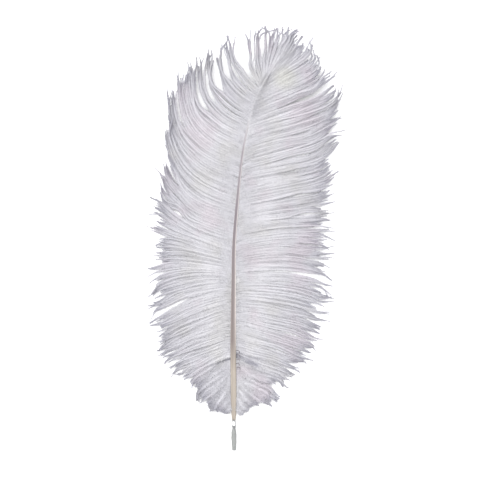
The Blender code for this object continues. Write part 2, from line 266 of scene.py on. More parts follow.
def smooth(rows: np.ndarray, at: np.ndarray) -> np.ndarray:
    """Reads smooth curves through rows of (distance, value, value, ...).

    Args:
        rows: The rows, by rising distance.
        at: Distances to read at.

    Returns:
        The values at each distance, one row for each.
    """
    rows, at = np.asarray(rows, float), np.atleast_1d(np.asarray(at, float))
    x, y = rows[:, 0], rows[:, 1:]
    i = np.clip(np.searchsorted(x, at, side="right") - 1, 0, len(x) - 2)
    before, after = np.maximum(i - 1, 0), np.minimum(i + 2, len(x) - 1)
    span = (x[i + 1] - x[i])[:, None]
    slope0 = (y[i + 1] - y[before]) / (x[i + 1] - x[before])[:, None] * span
    slope1 = (y[after] - y[i]) / (x[after] - x[i])[:, None] * span
    t = np.clip((at - x[i])[:, None] / span, 0.0, 1.0)
    rise = t * t * (3.0 - 2.0 * t)
    bend = slope0 * t * (1.0 - t) ** 2 - slope1 * t * t * (1.0 - t)
    return y[i] + (y[i + 1] - y[i]) * rise + bend


def ease(low: float, high: float, at: np.ndarray) -> np.ndarray:
    """Rises from 0 at low to 1 at high, level at both ends.

    Args:
        low: Where the rise starts.
        high: Where it ends.
        at: Places to read at.

    Returns:
        Shares from 0 to 1.
    """
    t = np.clip((at - low) / (high - low), 0.0, 1.0)
    return t * t * (3.0 - 2.0 * t)


def inset(share: np.ndarray) -> np.ndarray:
    """Moves shares from 0 to 1 a little in from the edges of the map kept for baking."""
    return 0.01 + 0.98 * share


def tangents(places: np.ndarray) -> np.ndarray:
    """Finds the direction of a line at each of its points.

    Args:
        places: The line's points, one row for each.

    Returns:
        Directions of length 1.
    """
    along = np.gradient(places, axis=0)
    return along / np.linalg.norm(along, axis=1)[:, None]


def directions(places: np.ndarray) -> tuple[np.ndarray, np.ndarray, np.ndarray]:
    """Finds the three directions in which a section stands on a line, at each of its points.

    Args:
        places: The line's points, one row for each.

    Returns:
        The directions along the line, level across it, and above it.
    """
    along = tangents(places)
    across = np.cross(along, (0.0, 0.0, 1.0))
    across /= np.linalg.norm(across, axis=1)[:, None]
    return along, across, np.cross(across, along)


def tube_faces(rows: int, sides: int) -> np.ndarray:
    """Lists the faces between the rings of a tube.

    Args:
        rows: How many rings of points there are.
        sides: Points in each ring.

    Returns:
        Four point numbers for each face.
    """
    ring = np.arange(sides)
    ahead = np.roll(ring, -1)
    one = np.column_stack([ring, ahead, ahead + sides, ring + sides])
    return np.concatenate([one + row * sides for row in range(rows - 1)])


def group_means(group: np.ndarray, values: np.ndarray) -> np.ndarray:
    """Finds the mean of each group's rows.

    Args:
        group: The group number of each row.
        values: The rows.

    Returns:
        The mean of its group, for every row.
    """
    size = np.bincount(group)
    flat = values.reshape(len(values), -1)
    mean = np.column_stack([np.bincount(group, column) / size for column in flat.T])
    return mean[group].reshape(values.shape)


def off_middle(group: np.ndarray) -> np.ndarray:
    """Finds how far each member is from the middle of its group.

    Args:
        group: The group number of each member, where a group's members follow each other.

    Returns:
        Shares from 0 in the middle to 1 at both ends.
    """
    place = np.arange(len(group), dtype=float)
    half = np.maximum(np.bincount(group) / 2.0, 1.0)
    return np.abs(place - group_means(group, place)) / half[group]


@dataclass
class Layout:
    """Where the plume's own millimetres lie in the frame."""

    origin: Vector = field(default_factory=Vector)
    end_slice: float = 0.1

    @classmethod
    def from_frame(cls) -> Layout:
        """Finds the centre of the quill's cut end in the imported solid.

        Returns:
            The layout with its origin there.
        """
        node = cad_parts[NODE]
        places = np.array([node.matrix_world @ vertex.co for vertex in node.data.vertices])
        end = places[places[:, 1] < places[:, 1].min() + cls.end_slice * MM]
        middle = (end[:, 0].min() + end[:, 0].max()) / 2.0
        return cls(Vector((middle, float(places[:, 1].min()), CAD_LOW.z)))

    def place(self, points: np.ndarray) -> np.ndarray:
        """Turns millimetres in the plume's layout into metres in the frame."""
        return points * MM + np.array(self.origin)


@dataclass
class Draft:
    """A mesh that is being put together: strips of points with faces and two maps."""

    points: list[np.ndarray] = field(default_factory=list)
    corners: list[np.ndarray] = field(default_factory=list)
    counts: list[np.ndarray] = field(default_factory=list)
    finish_map: list[np.ndarray] = field(default_factory=list)
    bake_map: list[np.ndarray] = field(default_factory=list)
    total: int = 0

    def add(self, points: np.ndarray, faces: np.ndarray, finish_uv: np.ndarray, bake_uv: np.ndarray) -> None:
        """Adds points and faces that all have the same number of corners.

        Args:
            points: New points, in millimetres.
            faces: Point numbers, counted within these points, one row for each face.
            finish_uv: The place of each point on the map that the material reads.
            bake_uv: The place of each point on the map kept for baking.
        """
        self.points.append(points)
        self.total += len(points)
        self.add_faces(faces, finish_uv, bake_uv)

    def add_faces(self, faces: np.ndarray, finish_uv: np.ndarray, bake_uv: np.ndarray) -> None:
        """Adds more faces on the points that were added last.

        Args:
            faces: Point numbers, counted within those points.
            finish_uv: As for add.
            bake_uv: As for add.
        """
        flat = faces.reshape(-1)
        self.corners.append(flat + self.total - len(self.points[-1]))
        self.counts.append(np.full(len(faces), faces.shape[1]))
        self.finish_map.append(finish_uv[flat])
        self.bake_map.append(bake_uv[flat])

    def finish(self, name: str, layout: Layout, smooth_shaded: bool) -> bpy.types.Object:
        """Makes the object.

        Args:
            name: The piece's name.
            layout: Where the millimetres lie in the frame.
            smooth_shaded: Whether the faces are shaded as one round surface.

        Returns:
            The new object, linked to the scene.
        """
        points = layout.place(np.concatenate(self.points)).astype(np.float32)
        corners = np.concatenate(self.corners).astype(np.int32)
        counts = np.concatenate(self.counts).astype(np.int32)
        starts = np.concatenate([[0], np.cumsum(counts)[:-1]]).astype(np.int32)
        mesh = bpy.data.meshes.new(name)
        mesh.vertices.add(len(points))
        mesh.vertices.foreach_set("co", points.ravel())
        mesh.loops.add(len(corners))
        mesh.loops.foreach_set("vertex_index", corners)
        mesh.polygons.add(len(counts))
        mesh.polygons.foreach_set("loop_start", starts)
        mesh.polygons.foreach_set("use_smooth", np.full(len(counts), smooth_shaded))
        for map_name, rows in (("Finish", self.finish_map), ("OFBake", self.bake_map)):
            layer = mesh.uv_layers.new(name=map_name, do_init=False)
            layer.uv.foreach_set("vector", np.concatenate(rows).astype(np.float32).ravel())
        mesh.update(calc_edges=True)
        piece = bpy.data.objects.new(name, mesh)
        bpy.context.scene.collection.objects.link(piece)
        return piece


@dataclass(frozen=True)
class BarbKeratin:
    """Keratin of the barbs, bleached and washed.

    Bleaching leaves it chalky and matt, so the eye sees a cool white without a shine. It greys where the
    barbs thin out, differs a little from strand to strand, and keeps a faint straw or rose cast in patches.
    Painted shade darkens the barbules' tips, for the shade on the strands' flanks, and the tone that it reads
    carries more painted shade from the vanes.
    """

    # Colour along a barb, from its root to its tip, and the painted shade that a barbule's tip is multiplied
    # by, for the shade on the strands' flanks.
    along: tuple[tuple[float, str], ...] = (
        (0.0, "#ABAAAE"), (0.22, "#BFBEC2"), (0.5, "#B8B7BC"), (0.8, "#B2B1B7"), (0.95, "#92919A"),
    )
    barbule_shade: str = "#BDBCC4"
    # Patches of straw and rose, about as wide as those in the photo.
    tints: tuple[tuple[float, str], ...] = (
        (0.36, "#F1F0E6"), (0.47, WHITE), (0.53, WHITE), (0.66, "#F6E6EC"),
    )
    tint_share: float = 0.38
    tint_mm: float = 28.0
    # One yellowish stain near the tip: its colour, place and reach in millimetres.
    stain: str = "#FEFFF4"
    stain_at: tuple[float, float, float] = (36.0, 263.0, 12.0)
    stain_reach: float = 13.0
    stain_full: float = 0.2
    # How far the strands differ in lightness, which is random tone, and the soft streaks along them, which
    # are partly random tone and partly painted shade where strands fold over each other.
    strand_spread: float = 0.06
    strand_lighter: float = 0.4
    streak_tone_and_shade: float = 0.12
    strands_a_fold: float = 4.0
    streaks_a_barb: float = 3.5
    roughness: tuple[float, float] = (0.62, 0.85)
    ior: float = 1.54
    sheen: float = 0.2
    # The flecks stand for the grain of the barbules, a few hundredths of a millimetre, which is too fine
    # to show. They are drawn as coarse as they need to show.
    fleck_mm: float = 1.2

    def material(self, layout: Layout) -> bpy.types.Material:
        """Builds the material.

        Its map holds across the barb's tone, its share along the barb with painted shade added, and upwards
        the strand's whole number with, as the part after the point, the painted shade of a barbule, which
        grows towards its tip.

        Args:
            layout: Where the plume's millimetres lie, for the one stain near the tip.

        Returns:
            The new material.
        """
        material, shader = new_material("bleached_keratin_barbs")
        tree = material.node_tree
        finish = add_node(tree, "ShaderNodeUVMap", {"uv_map": "Finish"})
        parts = add_node(tree, "ShaderNodeSeparateXYZ", links={"Vector": finish.outputs["UV"]})
        along = add_node(tree, "ShaderNodeValToRGB", links={"Fac": parts.outputs["X"]})
        set_ramp(along, self.along)
        fringe = add_node(tree, "ShaderNodeMath", {"operation": "FRACT"}, {"0": parts.outputs["Y"]})
        strand = add_node(tree, "ShaderNodeMath", {"operation": "FLOOR"}, {"0": parts.outputs["Y"]})
        # Painted shade: the barbules darken towards their tips, for the shade on the strands' flanks.
        barbule_shaded = add_node(
            tree,
            "ShaderNodeMix",
            {"data_type": "RGBA", "blend_type": "MULTIPLY", "7": linear(self.barbule_shade)},
            {"0": fringe.outputs["Value"], "6": along.outputs["Color"]},
        )
        place = add_node(tree, "ShaderNodeTexCoord")
        tinted = self.tinted(tree, place, barbule_shaded)
        stained = self.stained(tree, place, tinted, layout)
        shade = self.shade(tree, parts, strand)
        toned = add_node(
            tree,
            "ShaderNodeHueSaturation",
            links={"Value": shade.outputs["Value"], "Color": stained.outputs[2]},
        )
        fleck = add_node(
            tree,
            "ShaderNodeTexNoise",
            {"Scale": 1.0 / (self.fleck_mm * MM), "Detail": 3.0, "Roughness": 0.6},
            {"Vector": place.outputs["Object"]},
        )
        rough = add_node(
            tree,
            "ShaderNodeMapRange",
            {**NOISE_SPAN, "To Min": self.roughness[0], "To Max": self.roughness[1]},
            {"Value": fleck.outputs["Fac"]},
        )
        wire(
            tree,
            shader,
            {"IOR": self.ior, "Sheen Weight": self.sheen},
            {"Base Color": toned.outputs["Color"], "Roughness": rough.outputs["Result"]},
        )
        return material

    def tinted(
        self, tree: bpy.types.NodeTree, place: bpy.types.Node, colour: bpy.types.Node
    ) -> bpy.types.Node:
        """Lays patches of straw and rose over the colour.

        Args:
            tree: The material's node tree.
            place: The node that gives the place on the piece.
            colour: The mix node that gives the colour so far.

        Returns:
            The mix node that gives the tinted colour.
        """
        patch = add_node(
            tree,
            "ShaderNodeTexNoise",
            {"Scale": 1.0 / (self.tint_mm * MM), "Detail": 2.0},
            {"Vector": place.outputs["Object"]},
        )
        tint = add_node(tree, "ShaderNodeValToRGB", links={"Fac": patch.outputs["Fac"]})
        set_ramp(tint, self.tints)
        return add_node(
            tree,
            "ShaderNodeMix",
            {"data_type": "RGBA", "blend_type": "MULTIPLY", "Factor": self.tint_share},
            {"6": colour.outputs[2], "7": tint.outputs["Color"]},
        )

    def stained(
        self, tree: bpy.types.NodeTree, place: bpy.types.Node, colour: bpy.types.Node, layout: Layout
    ) -> bpy.types.Node:
        """Lays the stain near the tip over the colour.

        Args:
            tree: The material's node tree.
            place: The node that gives the place on the piece.
            colour: The mix node that gives the colour so far.
            layout: Where the plume's millimetres lie.

        Returns:
            The mix node that gives the stained colour.
        """
        away = add_node(
            tree,
            "ShaderNodeVectorMath",
            {"operation": "DISTANCE", "1": layout.place(np.array(self.stain_at))},
            {"0": place.outputs["Object"]},
        )
        reach = self.stain_reach * MM
        full = self.stain_full * self.stain_reach * MM
        inside = add_node(
            tree,
            "ShaderNodeMapRange",
            {"From Min": reach, "From Max": full, "interpolation_type": "SMOOTHSTEP"},
            {"Value": away.outputs["Value"]},
        )
        return add_node(
            tree,
            "ShaderNodeMix",
            {"data_type": "RGBA", "blend_type": "MULTIPLY", "7": linear(self.stain)},
            {"0": inside.outputs["Result"], "6": colour.outputs[2]},
        )

    def shade(
        self, tree: bpy.types.NodeTree, parts: bpy.types.Node, strand: bpy.types.Node
    ) -> bpy.types.Node:
        """Makes each strand a little lighter or darker than the next, with soft streaks along it that are
        partly random tone and partly painted shade where strands fold over each other.

        Args:
            tree: The material's node tree.
            parts: The node that gives the share along the barb.
            strand: The node that gives the strand's number.

        Returns:
            The node that gives what the lightness is multiplied by.
        """
        number = add_node(
            tree, "ShaderNodeTexWhiteNoise", {"noise_dimensions": "1D"}, {"W": strand.outputs["Value"]}
        )
        lighter = 1.0 + self.strand_spread * self.strand_lighter
        spread = add_node(
            tree,
            "ShaderNodeMapRange",
            {"To Min": 1.0 - self.strand_spread, "To Max": lighter},
            {"Value": number.outputs["Value"]},
        )
        joined = add_node(
            tree,
            "ShaderNodeCombineXYZ",
            links={"X": parts.outputs["X"], "Y": strand.outputs["Value"]},
        )
        stretch = add_node(
            tree,
            "ShaderNodeMapping",
            {"Scale": (1.0, 1.0 / self.strands_a_fold, 1.0)},
            {"Vector": joined.outputs["Vector"]},
        )
        # Soft streaks along the strands: partly random tone, partly painted shade.
        streak = add_node(
            tree,
            "ShaderNodeTexNoise",
            {"Scale": self.streaks_a_barb, "Detail": 2.0},
            {"Vector": stretch.outputs["Vector"]},
        )
        streaks = add_node(
            tree,
            "ShaderNodeMapRange",
            {**NOISE_SPAN, "To Min": 1.0 - self.streak_tone_and_shade, "To Max": 1.0},
            {"Value": streak.outputs["Fac"]},
        )
        return add_node(
            tree,
            "ShaderNodeMath",
            {"operation": "MULTIPLY"},
            {"0": spread.outputs["Result"], "1": streaks.outputs["Result"]},
        )


@dataclass(frozen=True)
class ShaftKeratin:
    """Horn keratin of the shaft, grown in fibres along it and left as it grew.

    The fibres give the eye fine lines and a satin shine. The surface is beige at the base, pale above it
    and greyer towards the tip, and the groove looks darker than the two ridges beside it.
    """

    # Colours along the shaft, from its base to its tip: of its ridges and of the groove's floor.
    ridges: tuple[tuple[float, str], ...] = (
        (0.0, "#92897F"), (0.18, "#92897F"), (0.3, "#CDC3BF"), (1.0, "#A6A4A8"),
    )
    groove: tuple[tuple[float, str], ...] = (
        (0.14, "#92897F"), (0.22, "#6C625F"), (0.56, "#665E64"), (0.68, "#807A7F"), (0.73, "#807A7F"),
        (0.82, "#A6A4A8"),
    )
    # Where the groove lies across a shaft that is 1 wide: its shift to the left, and its edge's two sides.
    groove_left: float = 0.07
    groove_edge: tuple[float, float] = (0.43, 0.34)
    # Real fibres are about 0.01 mm wide, too fine to show. The lines are drawn as coarse as they need to
    # show, and twenty times as long as they are wide.
    line_mm: float = 0.35
    line_stretch: float = 0.05
    line_shade: tuple[float, float] = (0.9, 1.06)
    roughness: tuple[float, float] = (0.38, 0.55)
    ior: float = 1.54
    bump: float = 0.25
    bump_mm: float = 0.05

    def material(self) -> bpy.types.Material:
        """Builds the material, which reads the place round and along the shaft from a map.

        Returns:
            The new material.
        """
        material, shader = new_material("horn_keratin_shaft")
        tree = material.node_tree
        finish = add_node(tree, "ShaderNodeUVMap", {"uv_map": "Finish"})
        parts = add_node(tree, "ShaderNodeSeparateXYZ", links={"Vector": finish.outputs["UV"]})
        along = add_node(tree, "ShaderNodeValToRGB", links={"Fac": parts.outputs["Y"]})
        set_ramp(along, self.ridges)
        floor = add_node(tree, "ShaderNodeValToRGB", links={"Fac": parts.outputs["Y"]})
        set_ramp(floor, self.groove)
        beside = add_node(
            tree, "ShaderNodeMath", {"operation": "ADD", "1": self.groove_left}, {"0": parts.outputs["X"]}
        )
        inside = add_node(tree, "ShaderNodeMath", {"operation": "ABSOLUTE"}, {"0": beside.outputs["Value"]})
        low, high = self.groove_edge
        groove = add_node(
            tree,
            "ShaderNodeMapRange",
            {"From Min": low, "From Max": high, "interpolation_type": "SMOOTHSTEP"},
            {"Value": inside.outputs["Value"]},
        )
        colour = add_node(
            tree,
            "ShaderNodeMix",
            {"data_type": "RGBA"},
            {"0": groove.outputs["Result"], "6": along.outputs["Color"], "7": floor.outputs["Color"]},
        )
        place = add_node(tree, "ShaderNodeTexCoord")
        stretch = add_node(
            tree,
            "ShaderNodeMapping",
            {"Scale": (1.0, self.line_stretch, 1.0)},
            {"Vector": place.outputs["Object"]},
        )
        lines = add_node(
            tree,
            "ShaderNodeTexNoise",
            {"Scale": 1.0 / (self.line_mm * MM), "Detail": 4.0},
            {"Vector": stretch.outputs["Vector"]},
        )
        shade = add_node(
            tree,
            "ShaderNodeMapRange",
            {**NOISE_SPAN, "To Min": self.line_shade[0], "To Max": self.line_shade[1]},
            {"Value": lines.outputs["Fac"]},
        )
        lined = add_node(
            tree,
            "ShaderNodeHueSaturation",
            links={"Value": shade.outputs["Result"], "Color": colour.outputs[2]},
        )
        rough = add_node(
            tree,
            "ShaderNodeMapRange",
            {**NOISE_SPAN, "To Min": self.roughness[0], "To Max": self.roughness[1]},
            {"Value": lines.outputs["Fac"]},
        )
        bump = add_node(
            tree,
            "ShaderNodeBump",
            {"Strength": self.bump, "Distance": self.bump_mm * MM},
            {"Height": lines.outputs["Fac"]},
        )
        finishes = {
            "Base Color": lined.outputs["Color"],
            "Roughness": rough.outputs["Result"],
            "Normal": bump.outputs["Normal"],
        }
        wire(tree, shader, {"IOR": self.ior}, finishes)
        return material


@dataclass(frozen=True)
class QuillKeratin:
    """Thin clear keratin of the hollow quill, washed and dried.

    Dried pith behind the wall gives the eye a flat, mottled grey. One band below the shaft is painted white,
    a painted highlight where the clear wall lets the light through.
    """

    # Colour along the quill, from its cut end to the shaft, and where along it the painted highlight lies.
    along: tuple[tuple[float, str], ...] = (
        (0.0, "#7E807F"), (0.64, "#7E807F"), (0.76, "#6F7071"), (1.0, "#6F7071"),
    )
    highlight_colour: str = WHITE
    highlight_along: tuple[tuple[float, str], ...] = ((0.8, BLACK), (0.84, WHITE), (0.92, WHITE), (0.96, BLACK))
    highlight_edge: tuple[float, float] = (0.75, 0.5)
    # Patches of dried pith, drawn at their real size.
    mottle_mm: float = 1.6
    mottle_shade: tuple[float, float] = (0.86, 1.1)
    roughness: tuple[float, float] = (0.42, 0.6)
    ior: float = 1.54
    bump: float = 0.3
    bump_mm: float = 0.1

    def material(self) -> bpy.types.Material:
        """Builds the material, which reads the place across and along the quill from a map.

        Returns:
            The new material.
        """
        material, shader = new_material("clear_keratin_quill")
        tree = material.node_tree
        finish = add_node(tree, "ShaderNodeUVMap", {"uv_map": "Finish"})
        parts = add_node(tree, "ShaderNodeSeparateXYZ", links={"Vector": finish.outputs["UV"]})
        along = add_node(tree, "ShaderNodeValToRGB", links={"Fac": parts.outputs["Y"]})
        set_ramp(along, self.along)
        # Painted highlight: a white band across the middle of the quill below the shaft.
        reach = add_node(tree, "ShaderNodeValToRGB", links={"Fac": parts.outputs["Y"]})
        set_ramp(reach, self.highlight_along)
        edge = add_node(tree, "ShaderNodeMath", {"operation": "ABSOLUTE"}, {"0": parts.outputs["X"]})
        low, high = self.highlight_edge
        middle = add_node(
            tree, "ShaderNodeMapRange", {"From Min": low, "From Max": high}, {"Value": edge.outputs["Value"]}
        )
        clear = add_node(
            tree,
            "ShaderNodeMath",
            {"operation": "MULTIPLY"},
            {"0": reach.outputs["Color"], "1": middle.outputs["Result"]},
        )
        seen = add_node(
            tree,
            "ShaderNodeMix",
            {"data_type": "RGBA", "7": linear(self.highlight_colour)},
            {"0": clear.outputs["Value"], "6": along.outputs["Color"]},
        )
        place = add_node(tree, "ShaderNodeTexCoord")
        mottle = add_node(
            tree,
            "ShaderNodeTexNoise",
            {"Scale": 1.0 / (self.mottle_mm * MM), "Detail": 5.0, "Roughness": 0.65},
            {"Vector": place.outputs["Object"]},
        )
        shade = add_node(
            tree,
            "ShaderNodeMapRange",
            {**NOISE_SPAN, "To Min": self.mottle_shade[0], "To Max": self.mottle_shade[1]},
            {"Value": mottle.outputs["Fac"]},
        )
        mottled = add_node(
            tree,
            "ShaderNodeHueSaturation",
            links={"Value": shade.outputs["Result"], "Color": seen.outputs[2]},
        )
        rough = add_node(
            tree,
            "ShaderNodeMapRange",
            {**NOISE_SPAN, "To Min": self.roughness[0], "To Max": self.roughness[1]},
            {"Value": mottle.outputs["Fac"]},
        )
        bump = add_node(
            tree,
            "ShaderNodeBump",
            {"Strength": self.bump, "Distance": self.bump_mm * MM},
            {"Height": mottle.outputs["Fac"]},
        )
        finishes = {
            "Base Color": mottled.outputs["Color"],
            "Roughness": rough.outputs["Result"],
            "Normal": bump.outputs["Normal"],
        }
        wire(tree, shader, {"IOR": self.ior}, finishes)
        return material


@dataclass(frozen=True)
class WornKeratin:
    """Keratin of bare barb stubs, worn down and dried out.

    With no barbules left on it, it looks dark grey-brown and dull, so the stubs read as short ticks.
    """

    shades: tuple[tuple[float, str], ...] = ((0.35, "#58525A"), (0.65, "#787174"))
    mottle_mm: float = 0.8
    roughness: float = 0.6
    ior: float = 1.54

    def material(self) -> bpy.types.Material:
        """Builds the stubs' material.

        Returns:
            The new material.
        """
        material, shader = new_material("worn_keratin_stubs")
        tree = material.node_tree
        place = add_node(tree, "ShaderNodeTexCoord")
        mottle = add_node(
            tree,
            "ShaderNodeTexNoise",
            {"Scale": 1.0 / (self.mottle_mm * MM)},
            {"Vector": place.outputs["Object"]},
        )
        shade = add_node(tree, "ShaderNodeValToRGB", links={"Fac": mottle.outputs["Fac"]})
        set_ramp(shade, self.shades)
        settings = {"Roughness": self.roughness, "IOR": self.ior}
        wire(tree, shader, settings, {"Base Color": shade.outputs["Color"]})
        return material


@dataclass(frozen=True)
class PaleCard:
    """White card, pressed and uncoated, which gives the eye an even white without a shine."""

    colour: str = "#F6F6F7"
    # Real card has a tooth of about 0.1 mm, too fine to show, which is drawn coarser.
    tooth_mm: float = 2.0
    roughness: tuple[float, float] = (0.85, 0.95)
    specular: float = 0.1

    def material(self) -> bpy.types.Material:
        """Builds the card's material.

        Returns:
            The new material.
        """
        material, shader = new_material("matt_white_card")
        tree = material.node_tree
        place = add_node(tree, "ShaderNodeTexCoord")
        tooth = add_node(
            tree,
            "ShaderNodeTexNoise",
            {"Scale": 1.0 / (self.tooth_mm * MM)},
            {"Vector": place.outputs["Object"]},
        )
        rough = add_node(
            tree,
            "ShaderNodeMapRange",
            {"To Min": self.roughness[0], "To Max": self.roughness[1]},
            {"Value": tooth.outputs["Fac"]},
        )
        settings = {"Base Color": linear(self.colour), "Specular IOR Level": self.specular}
        wire(tree, shader, settings, {"Roughness": rough.outputs["Result"]})
        return material


@dataclass
class Shaft:
    """The shaft: a flat back, rounded sides and a groove along the upper face.

    Rows of a route give a distance up the shaft and the centre's place across; rows of widths give a
    distance up it and a width.
    """

    start: float = 19.8
    end: float = 281.0
    route: tuple[tuple[float, float], ...] = (
        (0.0, 0.0), (40.0, -0.3), (75.0, -0.6), (120.0, -0.3), (146.0, 0.1), (180.0, 2.8),
        (203.0, 5.2), (222.0, 8.2), (241.0, 12.7), (254.0, 18.0), (266.0, 25.3), (281.0, 36.5),
    )
    widths: tuple[tuple[float, float], ...] = (
        (19.8, 1.7), (20.6, 2.2), (22.4, 2.9), (25.0, 3.3), (30.0, 3.7), (36.0, 4.1), (48.0, 4.2),
        (80.0, 3.8), (130.0, 2.9), (200.0, 1.7), (245.0, 0.9), (281.0, 0.5),
    )
    lift_start: float = 150.0
    tip_lift: float = 19.0
    # The section's half height, corners and groove, for a width of 1. Its power under 1 squares the corners.
    back: float = 0.42
    corner_power: float = 0.75
    groove_depth: float = 0.17
    groove_width: float = 0.26
    rows: int = 260
    sides: int = 32
    # The back's places on the material's map are moved this far away from the groove.
    back_away: float = 9.0
    name: str = "shaft"

    def width(self, up: np.ndarray) -> np.ndarray:
        """Reads the shaft's width at distances up it."""
        return smooth(self.widths, np.maximum(up, self.start))[:, 0]

    def centre(self, up: np.ndarray) -> np.ndarray:
        """Finds points of the centreline at distances up the shaft.

        Args:
            up: Distances from the cut end.

        Returns:
            One (x, y, z) row for each distance.
        """
        over = np.maximum(up - self.lift_start, 0.0) / (self.end - self.lift_start)
        height = self.back * self.width(up) + self.tip_lift * over**2
        return np.column_stack([smooth(self.route, up)[:, 0], up, height])

    def section(self) -> np.ndarray:
        """Draws the cross-section for a width of 1.

        Returns:
            (across, height) rows, from the middle of the back round.
        """
        turn = np.linspace(-0.5, 1.5, self.sides, endpoint=False) * math.pi
        across = 0.5 * np.sign(np.cos(turn)) * np.abs(np.cos(turn)) ** self.corner_power
        height = self.back * np.sign(np.sin(turn)) * np.abs(np.sin(turn)) ** self.corner_power
        dip = self.groove_depth * np.exp(-((across / self.groove_width) ** 2))
        return np.column_stack([across, np.where(height > 0.0, height - dip, height)])

    def build(self, layout: Layout) -> bpy.types.Object:
        """Sweeps the section along the centreline and closes both ends.

        Args:
            layout: Where the millimetres lie in the frame.

        Returns:
            The shaft.
        """
        up = np.linspace(self.start, self.end, self.rows)
        centre, width = self.centre(up), self.width(up)
        _, across, above = directions(centre)
        section = self.section()
        places = (
            centre[:, None]
            + across[:, None] * (section[:, 0] * width[:, None])[..., None]
            + above[:, None] * (section[:, 1] * width[:, None])[..., None]
        )
        places[..., 2] = np.maximum(places[..., 2], 0.0)
        ring = np.arange(self.sides)
        share = np.repeat((up - self.start) / (self.end - self.start), self.sides)
        side = np.tile(section[:, 0] * np.where(section[:, 1] > 0.0, 1.0, self.back_away), self.rows)
        finish_uv = np.column_stack([side, share])
        bake_uv = np.column_stack([np.tile((ring + 0.5) / self.sides, self.rows), inset(share)])
        draft = Draft()
        draft.add(places.reshape(-1, 3), tube_faces(self.rows, self.sides), finish_uv, bake_uv)
        draft.add_faces(ring[::-1][None], finish_uv, bake_uv)
        draft.add_faces((ring + (self.rows - 1) * self.sides)[None], finish_uv, bake_uv)
        return draft.finish(self.name, layout, True)

    def dress(self, piece: bpy.types.Object) -> None:
        """Gives the shaft its finish and its place in the frame."""
        piece.data.materials.append(ShaftKeratin().material())
        hold(piece)


@dataclass
class Quill:
    """The quill: a hollow round tube, cut at its end, that narrows to a waist where the shaft starts."""

    shaft: Shaft
    widths: tuple[tuple[float, float], ...] = (
        (0.0, 2.5), (0.8, 2.8), (4.0, 3.2), (9.0, 3.55), (13.0, 3.4), (15.6, 2.2), (17.0, 2.7), (19.0, 2.9),
        (20.4, 2.3), (21.5, 1.9),
    )
    end: float = 21.5
    bore_depth: float = 7.0
    bore_end: float = 0.05
    wall: float = 0.35
    # The wall's unevenness: its height as a share of the radius, its waves round the quill, and in
    # radians a millimetre how they twist and how they swell along it.
    ripple: float = 0.06
    ripple_waves: float = 3.0
    ripple_twist: float = 0.55
    ripple_swell: float = 0.9
    # The cut is a little slanting: how much, towards where in radians, and how far up it reaches.
    slant: float = 0.25
    slant_turn: float = 0.6
    slant_reach: float = 0.6
    rows: int = 60
    sides: int = 32
    name: str = "quill"

    def build(self, layout: Layout) -> bpy.types.Object:
        """Turns the outer wall, the rim and the bore as one surface.

        Args:
            layout: Where the millimetres lie in the frame.

        Returns:
            The quill.
        """
        outer_up = np.linspace(self.end, 0.0, self.rows)
        outer = smooth(self.widths, outer_up)[:, 0] / 2.0
        bore_up = np.linspace(0.0, self.bore_depth, self.rows // 4)
        bore = smooth(self.widths, bore_up)[:, 0] / 2.0 - self.wall
        bore[-1] = self.bore_end
        up = np.concatenate([outer_up, bore_up])
        radius = np.concatenate([outer, bore])
        middle = max(width for _, width in self.widths) / 2.0
        turn = np.linspace(0.0, math.tau, self.sides, endpoint=False)
        twisted = self.ripple_waves * turn[None] + self.ripple_twist * up[:, None]
        wave = 1.0 + self.ripple * np.sin(twisted) * np.sin(self.ripple_swell * up)[:, None]
        around = radius[:, None] * wave
        rim = self.slant * np.sin(turn + self.slant_turn)[None] * (up[:, None] < self.slant_reach)
        places = np.stack(
            [
                smooth(self.shaft.route, up)[:, :1] + around * np.cos(turn),
                up[:, None] + np.maximum(rim, 0.0),
                np.maximum(middle + around * np.sin(turn), 0.0),
            ],
            axis=-1,
        )
        rows = len(up)
        ring = np.arange(self.sides)
        finish_uv = np.column_stack([np.tile(np.cos(turn), rows), np.repeat(up / self.end, self.sides)])
        way = np.repeat(np.linspace(0.01, 0.99, rows), self.sides)
        bake_uv = np.column_stack([np.tile((ring + 0.5) / self.sides, rows), way])
        draft = Draft()
        draft.add(places.reshape(-1, 3), tube_faces(rows, self.sides)[:, ::-1], finish_uv, bake_uv)
        draft.add_faces(ring[None], finish_uv, bake_uv)
        draft.add_faces((ring + (rows - 1) * self.sides)[::-1][None], finish_uv, bake_uv)
        return draft.finish(self.name, layout, True)

    def dress(self, piece: bpy.types.Object) -> None:
        """Gives the quill its finish and its place in the frame."""
        piece.data.materials.append(QuillKeratin().material())
        hold(piece)


